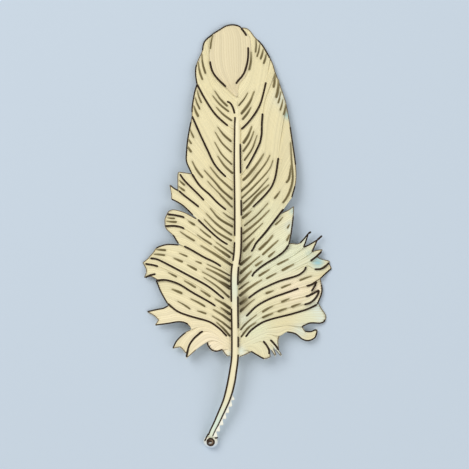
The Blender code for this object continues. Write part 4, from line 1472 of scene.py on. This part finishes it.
class FEATHER_OT_finish_quill(bpy.types.Operator):
    """Makes the quill's knob, the curled pith in it, and the fringe of sheath scales"""

    bl_idname = "feather.finish_quill"
    bl_label = "Finish the quill"

    def execute(self, context):
        settings = context.scene.feather_quill
        sheath = horn_material("Pale horn sheath", settings, settings.sheath, 0.5)
        glass = horn_material("Glassy horn knob", settings, settings.glassy, 0.32)
        self.make_knob(glass)
        self.make_fringe(sheath)
        self.make_pith(settings)
        return {"FINISHED"}

    def make_knob(self, material):
        """A flattened ball with a rounded lip round the hollow in its top."""
        mesh = bmesh.new()
        around, up = KNOB_FACES
        bmesh.ops.create_uvsphere(mesh, u_segments=around, v_segments=up, radius=1)
        data = to_mesh("quill_knob", mesh)
        places = places_of(data)
        flat = places[:, :2] * (KNOB_RADIUS * KNOB_WIDENING, KNOB_RADIUS)
        z = np.maximum(KNOB_Z + KNOB_HEIGHT * places[:, 2], 0)
        inside = eased(np.clip((HOLE_RADIUS - np.hypot(flat[:, 0], flat[:, 1])) / KNOB_LIP, 0, 1))
        z = np.where(places[:, 2] > 0, z - inside * np.maximum(z - HOLE_FLOOR_Z, 0), z)
        put_places(data, np.column_stack([flat + from_grid([KNOB_CENTRE]), z]))
        put_attribute(data, "clear", np.clip(0.55 - 0.45 * places[:, 1], 0, 1))
        finish_piece(join("quill_knob", [data]), material)

    def make_fringe(self, material):
        """A thin toothed strip whose root lies in the quill's side."""
        mesh = bmesh.new()
        columns = TEETH * FACES_PER_TOOTH
        bmesh.ops.create_grid(mesh, x_segments=columns, y_segments=FACES_OUTWARD, size=0.5)
        data = to_mesh("sheath_fringe", mesh)
        places = places_of(data)
        tooth, out = (places[:, 0] + 0.5) * TEETH, places[:, 1] + 0.5
        part = tooth % 1
        saw = eased(np.where(part < TOOTH_PEAK, part / TOOTH_PEAK, (1 - part) / (1 - TOOTH_PEAK)))
        reach = (NOTCH_REACH + (TOOTH_REACH - NOTCH_REACH) * saw) * np.clip(tooth / TOOTH_PEAK, 0, 1)
        centres, half, slope = shaft_at(np.interp(tooth, [0, TEETH], FRINGE_ROWS))
        outward = np.column_stack([np.ones(len(slope)), -slope])
        outward /= np.linalg.norm(outward, axis=1)[:, None]
        away = FRINGE_ROOT * half + out * ((1 - FRINGE_ROOT) * half + reach)
        flat = centres + outward * away[:, None]
        z = shaft_z(centres[:, 1]) + SHAFT_RISE - FRINGE_SINK
        z = z + FRINGE_BULGE * np.sin(math.pi * out) + TOOTH_LIFT * saw * out
        put_places(data, np.column_stack([flat, z]))
        # The fringe takes mostly the sheath colour, partly painted light against the quill's shadow.
        put_attribute(data, "clear", np.full(len(places), FRINGE_CLEAR))
        piece = join("sheath_fringe", [data])
        thicken(piece, FRINGE_THICKNESS)
        finish_piece(piece, material)

    def make_pith(self, settings):
        centre = from_grid([KNOB_CENTRE])[0]

        def coil(name, flat, half_width, material):
            """A round-ended rod along flat places in the hollow."""
            flat = along(flat, np.linspace(0, 1, COIL_RINGS))
            from_start = np.linspace(0, COIL_TAPER, COIL_RINGS)
            ends = np.clip(np.minimum(from_start, from_start[::-1]), COIL_END, 1)
            path = np.column_stack([flat, np.full(COIL_RINGS, PITH_Z)])
            widths = half_width * ends[None]
            data = rods([path], widths, COIL_HEIGHT * widths, COIL_SIDES)
            finish_piece(join(name, [data]), material)

        def arc(radius, start, end):
            angles = np.radians(np.linspace(start, end, 60))
            return centre + radius * np.column_stack([np.cos(angles), np.sin(angles)])

        tail = smooth_curve(centre + np.array(RING_TAIL) * MM)
        ring = np.vstack([arc(RING_RADIUS, *RING_ARC), tail])
        coil("pith_coil", ring, RING_HALF_WIDTH, pith_material("Dried dark pith", settings.pith, 0.85))
        curl = arc(CURL_RADIUS, *CURL_ARC)
        coil("pith_curl", curl, CURL_HALF_WIDTH, pith_material("Pale pith curl", settings.curl, 0.7))


class FEATHER_OT_colour_barbs(bpy.types.Operator):
    """Lays the dark umber barbs along the locks' edges, partly painted shade of the gaps there, and the
    olive-brown barbs on the vane
    """

    bl_idname = "feather.colour_barbs"
    bl_label = "Colour the barbs"

    def execute(self, context):
        pigment = context.scene.feather_pigment
        vane = [bpy.data.objects[name] for name in ("vane_left", "vane_right", "cap_lock")]
        height = tops_of(vane)
        # The umber material is partly painted shade: in the gaps between locks and the crease beside the
        # shaft.
        umber = pigment_material("Umber melanin barb", pigment.umber, srgb("#3E2B18"))
        brown = pigment_material("Brown barb tips", pigment.brown, srgb("#8A744E"))
        olive = pigment_material(
            "Olive melanin barb", pigment.olive, srgb("#857750"), fade=srgb("#B9AC80"), deep=srgb("#2E2413")
        )
        self.lay_umber(pigment, height, umber)
        self.lay_shaft_lines(pigment, height, umber)
        self.lay_rims(pigment, height, umber, brown)
        self.lay_olive(pigment, height, olive, vane)
        return {"FINISHED"}

    def lay_umber(self, pigment, height, material):
        # Partly pigment, partly painted shade of the gaps between the locks.
        lines = [stretch(smooth_curve(from_grid(line)), *ends) for line, *ends in DARK_STRETCHES]
        lines += [smooth_curve(from_grid(points)) for points in DARK_LINES]
        data = laid_rods(lines, pigment.umber_width / 2, height, UMBER_RINGS)
        finish_piece(join("umber_barbs", [data]), material)

    def lay_shaft_lines(self, pigment, height, material):
        """The dark barbs at the vane's foot, which lie against the shaft's sides: painted shade of the crease
        there.
        """
        lines = []
        for side, stretches in SHAFT_LINES.items():
            for top, bottom in stretches:
                rows = np.linspace(bottom, top, SIDE_PLACES)
                centres, half, slope = shaft_at(rows)
                outward = np.column_stack([-np.ones(len(rows)), slope]) * side
                outward /= np.linalg.norm(outward, axis=1)[:, None]
                lines.append(centres + outward * (half - SHAFT_LINE_INSET)[:, None])

        def resting(flat):
            """On the shaft's side, or on the vane where the shaft has sunk under it."""
            z = shaft_top(flat[:, 1]) - SHAFT_LINE_DROP
            sunk = shaft_rise(flat[:, 1]) < 0
            if sunk.any():
                z[sunk] = np.maximum(z[sunk], height(flat[sunk]))
            return z

        half_width = SHAFT_LINE_WIDTH * pigment.umber_width
        data = laid_rods(lines, half_width, resting, SHAFT_LINE_RINGS)
        finish_piece(join("shaft_edge_barbs", [data]), material)

    def lay_rims(self, pigment, height, umber, brown):
        """Dark barb tips along stretches of the locks' outlines, and a thin brown edge along them all."""
        outlines = {name: outline(lock, name in COVERED_TOPS) for name, lock in LOCKS.items()}
        shown = [line for name, line in outlines.items() if name not in INNER_LOCKS]
        data = laid_rods(shown, pigment.edge_width / 2, height, EDGE_RINGS)
        finish_piece(join("brown_edges", [data]), brown)
        lines = [stretch(outlines[name], *ends) for name, *ends in DARK_RIMS]
        data = laid_rods(lines, pigment.rim_width / 2, height, UMBER_RINGS)
        marks = [smooth_curve(from_grid(points)) for points in KNOB_LINES]
        knob = tops_of([bpy.data.objects[name] for name in ("quill_knob", "shaft", "sheath_fringe")])
        knob_data = laid_rods(marks, pigment.rim_width / 2, knob, MARK_RINGS)
        finish_piece(join("dark_rims", [data, knob_data]), umber)

    def lay_olive(self, pigment, height, material, vane):
        """Olive barbs, with soft painted shade round them in the web."""
        random = np.random.default_rng(OLIVE_SEED)
        single = [stroke_line(LEFT, points) for points in OLIVE_LEFT]
        single += [stroke_line(RIGHT, points) for points in OLIVE_RIGHT]
        single += [smooth_curve(from_grid(points)) for points in OLIVE_BANDS]
        broad = [stroke_line(LEFT, points) for points in BROAD_LEFT]
        broad += [stroke_line(RIGHT, points) for points in BROAD_RIGHT]
        half = pigment.olive_width / 2
        widths = half * random.uniform(*OLIVE_RANGE, len(single))
        meshes = [
            laid_rods(single, widths, height, OLIVE_RINGS, OLIVE_FREE_END, OLIVE_FLATNESS),
            laid_rods(broad, BROAD_WIDTH * half, height, OLIVE_RINGS, OLIVE_FREE_END, BROAD_FLATNESS),
        ]
        piece = join("olive_barbs", meshes)
        places = places_of(piece.data)
        y = places[:, 1]
        rows, strengths = zip(*reversed(DEEP_ROWS))
        most = np.interp(y, row_y(rows), strengths)
        away = (np.abs(places[:, 0] - shaft_x(y)) - shaft_half_width(y)) / DEEP_REACH
        put_attribute(piece.data, "deep", most * np.exp(-(away**2)))
        finish_piece(piece, material)
        # Painted shade on the web round the olive barbs.
        tree = near_lines(single + broad)
        for piece in vane:
            add_painted_shade(piece, tree)


class FEATHER_OT_fray_rims(bpy.types.Operator):
    """Lets the barbs' free tips stand out past the rims, longer and curled on the downy locks"""

    bl_idname = "feather.fray_rims"
    bl_label = "Fray the rims"

    def execute(self, context):
        random = np.random.default_rng(TIP_SEED)
        paths, widths = [], []
        for name, lock in LOCKS.items():
            if name in INNER_LOCKS or name in COVERED_TOPS:
                continue
            length = DOWN_LENGTH if name in DOWNY_LOCKS else TIP_LENGTH
            tips = self.free_tips(lock, context.scene.feather_vane.pitch, length, random)
            paths.append(tips)
            widths.append(np.tile(TIP_HALF_WIDTH * np.linspace(1, TIP_END, TIP_RINGS), (len(tips), 1)))
        widths = np.vstack(widths)
        data = rods(np.vstack(paths), widths, widths, TIP_SIDES)
        piece = join("free_barb_tips", [data])
        put_tints(piece.data)
        finish_piece(piece, down_material())
        return {"FINISHED"}

    def free_tips(self, lock, pitch, length, random):
        """The paths of the tips of one lock's barbs, from inside its rim outwards."""
        count = 2 * barbs_in(lock, pitch)
        across = (np.arange(count) + random.uniform(*TIP_SPREAD, count)) / count
        inner, rim = (lock_places(lock, across, np.full(count, out)) for out in (TIP_INSET, 1.0))
        heading = (rim - inner) / np.linalg.norm(rim - inner, axis=1)[:, None]
        sideways = np.column_stack([-heading[:, 1], heading[:, 0], np.zeros(count)])
        length = (length * random.uniform(*TIP_RANGE, count))[:, None]
        curl = random.uniform(-TIP_CURL, TIP_CURL, count)[:, None]
        steps = [inner]
        for part in np.linspace(0, 1, TIP_RINGS - 1):
            steps.append(rim + heading * length * part + sideways * curl * length * part**2)
        path = np.stack(steps, axis=1)
        path[..., 2] = np.maximum(path[..., 2], TIP_CLEARANCE * TIP_HALF_WIDTH)
        return path


class FEATHER_OT_set_stage(bpy.types.Operator):
    """Sets the floor, the lights and the camera that looks straight down"""

    bl_idname = "feather.set_stage"
    bl_label = "Set the stage"

    def execute(self, context):
        settings = context.scene.feather_stage
        self.make_floor(settings)
        self.make_lights(settings)
        self.make_camera()
        # Colours come out as they were chosen, without a film look.
        context.scene.view_settings.view_transform = "Standard"
        return {"FINISHED"}

    def make_floor(self, settings):
        mesh = bmesh.new()
        just_below = Matrix.Translation((0, 0, -FLOOR_GAP))
        bmesh.ops.create_circle(mesh, cap_ends=True, segments=96, radius=FLOOR_RADIUS, matrix=just_below)
        floor = join("floor", [to_mesh("floor", mesh)])
        # Matt painted board: even and pale, so that the feather stands out.
        material, _, _ = new_material("Pale matt board", Base_Color=settings.floor, Roughness=0.9)
        floor.data.materials.append(material)

    def make_lights(self, settings):
        world = bpy.data.worlds.new("Soft studio")
        world.use_nodes = True
        background = world.node_tree.nodes["Background"]
        background.inputs["Color"].default_value = srgb("#F2F5F8")
        background.inputs["Strength"].default_value = settings.ambient
        bpy.context.scene.world = world
        for name, (size, place) in LAMPS.items():
            light = bpy.data.lights.new(name, "AREA")
            light.energy = getattr(settings, name)
            light.size = size
            lamp = bpy.data.objects.new(name, light)
            lamp.location = place
            lamp.rotation_euler = (-Vector(place)).to_track_quat("-Z", "Y").to_euler()
            lamp.visible_camera = False
            bpy.context.scene.collection.objects.link(lamp)

    def make_camera(self):
        """A camera straight above the picture's middle."""
        width = PICTURE * GRID_STEP
        x, y = from_grid([(PICTURE / 2, PICTURE / 2)])[0]
        data = bpy.data.cameras.new("camera")
        data.lens = CAMERA_LENS
        data.sensor_width = SENSOR_WIDTH
        camera = bpy.data.objects.new("camera", data)
        camera.location = (x, y, width * data.lens / data.sensor_width + CAMERA_FOCUS_Z)
        data.clip_start, data.clip_end = CAMERA_RANGE
        bpy.context.scene.collection.objects.link(camera)
        bpy.context.scene.camera = camera


class FEATHER_PT_panel(bpy.types.Panel):
    """Lists the steps that build the feather"""

    bl_idname = "FEATHER_PT_panel"
    bl_label = "Contour feather"
    bl_space_type = "VIEW_3D"
    bl_region_type = "UI"
    bl_category = "Feather"

    def draw(self, context):
        for step in STEPS:
            self.layout.operator(step.bl_idname)


STEPS = (
    FEATHER_OT_lay_vane,
    FEATHER_OT_grow_shaft,
    FEATHER_OT_finish_quill,
    FEATHER_OT_colour_barbs,
    FEATHER_OT_fray_rims,
    FEATHER_OT_set_stage,
)
SETTINGS = {
    "feather_vane": VaneSettings,
    "feather_pigment": PigmentSettings,
    "feather_quill": QuillSettings,
    "feather_stage": StageSettings,
}


def register():
    for cls in (*SETTINGS.values(), *STEPS, FEATHER_PT_panel):
        bpy.utils.register_class(cls)
    for name, group in SETTINGS.items():
        setattr(bpy.types.Scene, name, PointerProperty(type=group))


def unregister():
    for name in SETTINGS:
        delattr(bpy.types.Scene, name)
    for cls in reversed((*SETTINGS.values(), *STEPS, FEATHER_PT_panel)):
        bpy.utils.unregister_class(cls)


def main():
    register()
    bpy.ops.feather.lay_vane()
    bpy.ops.feather.grow_shaft()
    bpy.ops.feather.finish_quill()
    bpy.ops.feather.colour_barbs()
    bpy.ops.feather.fray_rims()
    bpy.ops.feather.set_stage()


if __name__ == "__main__":
    main()
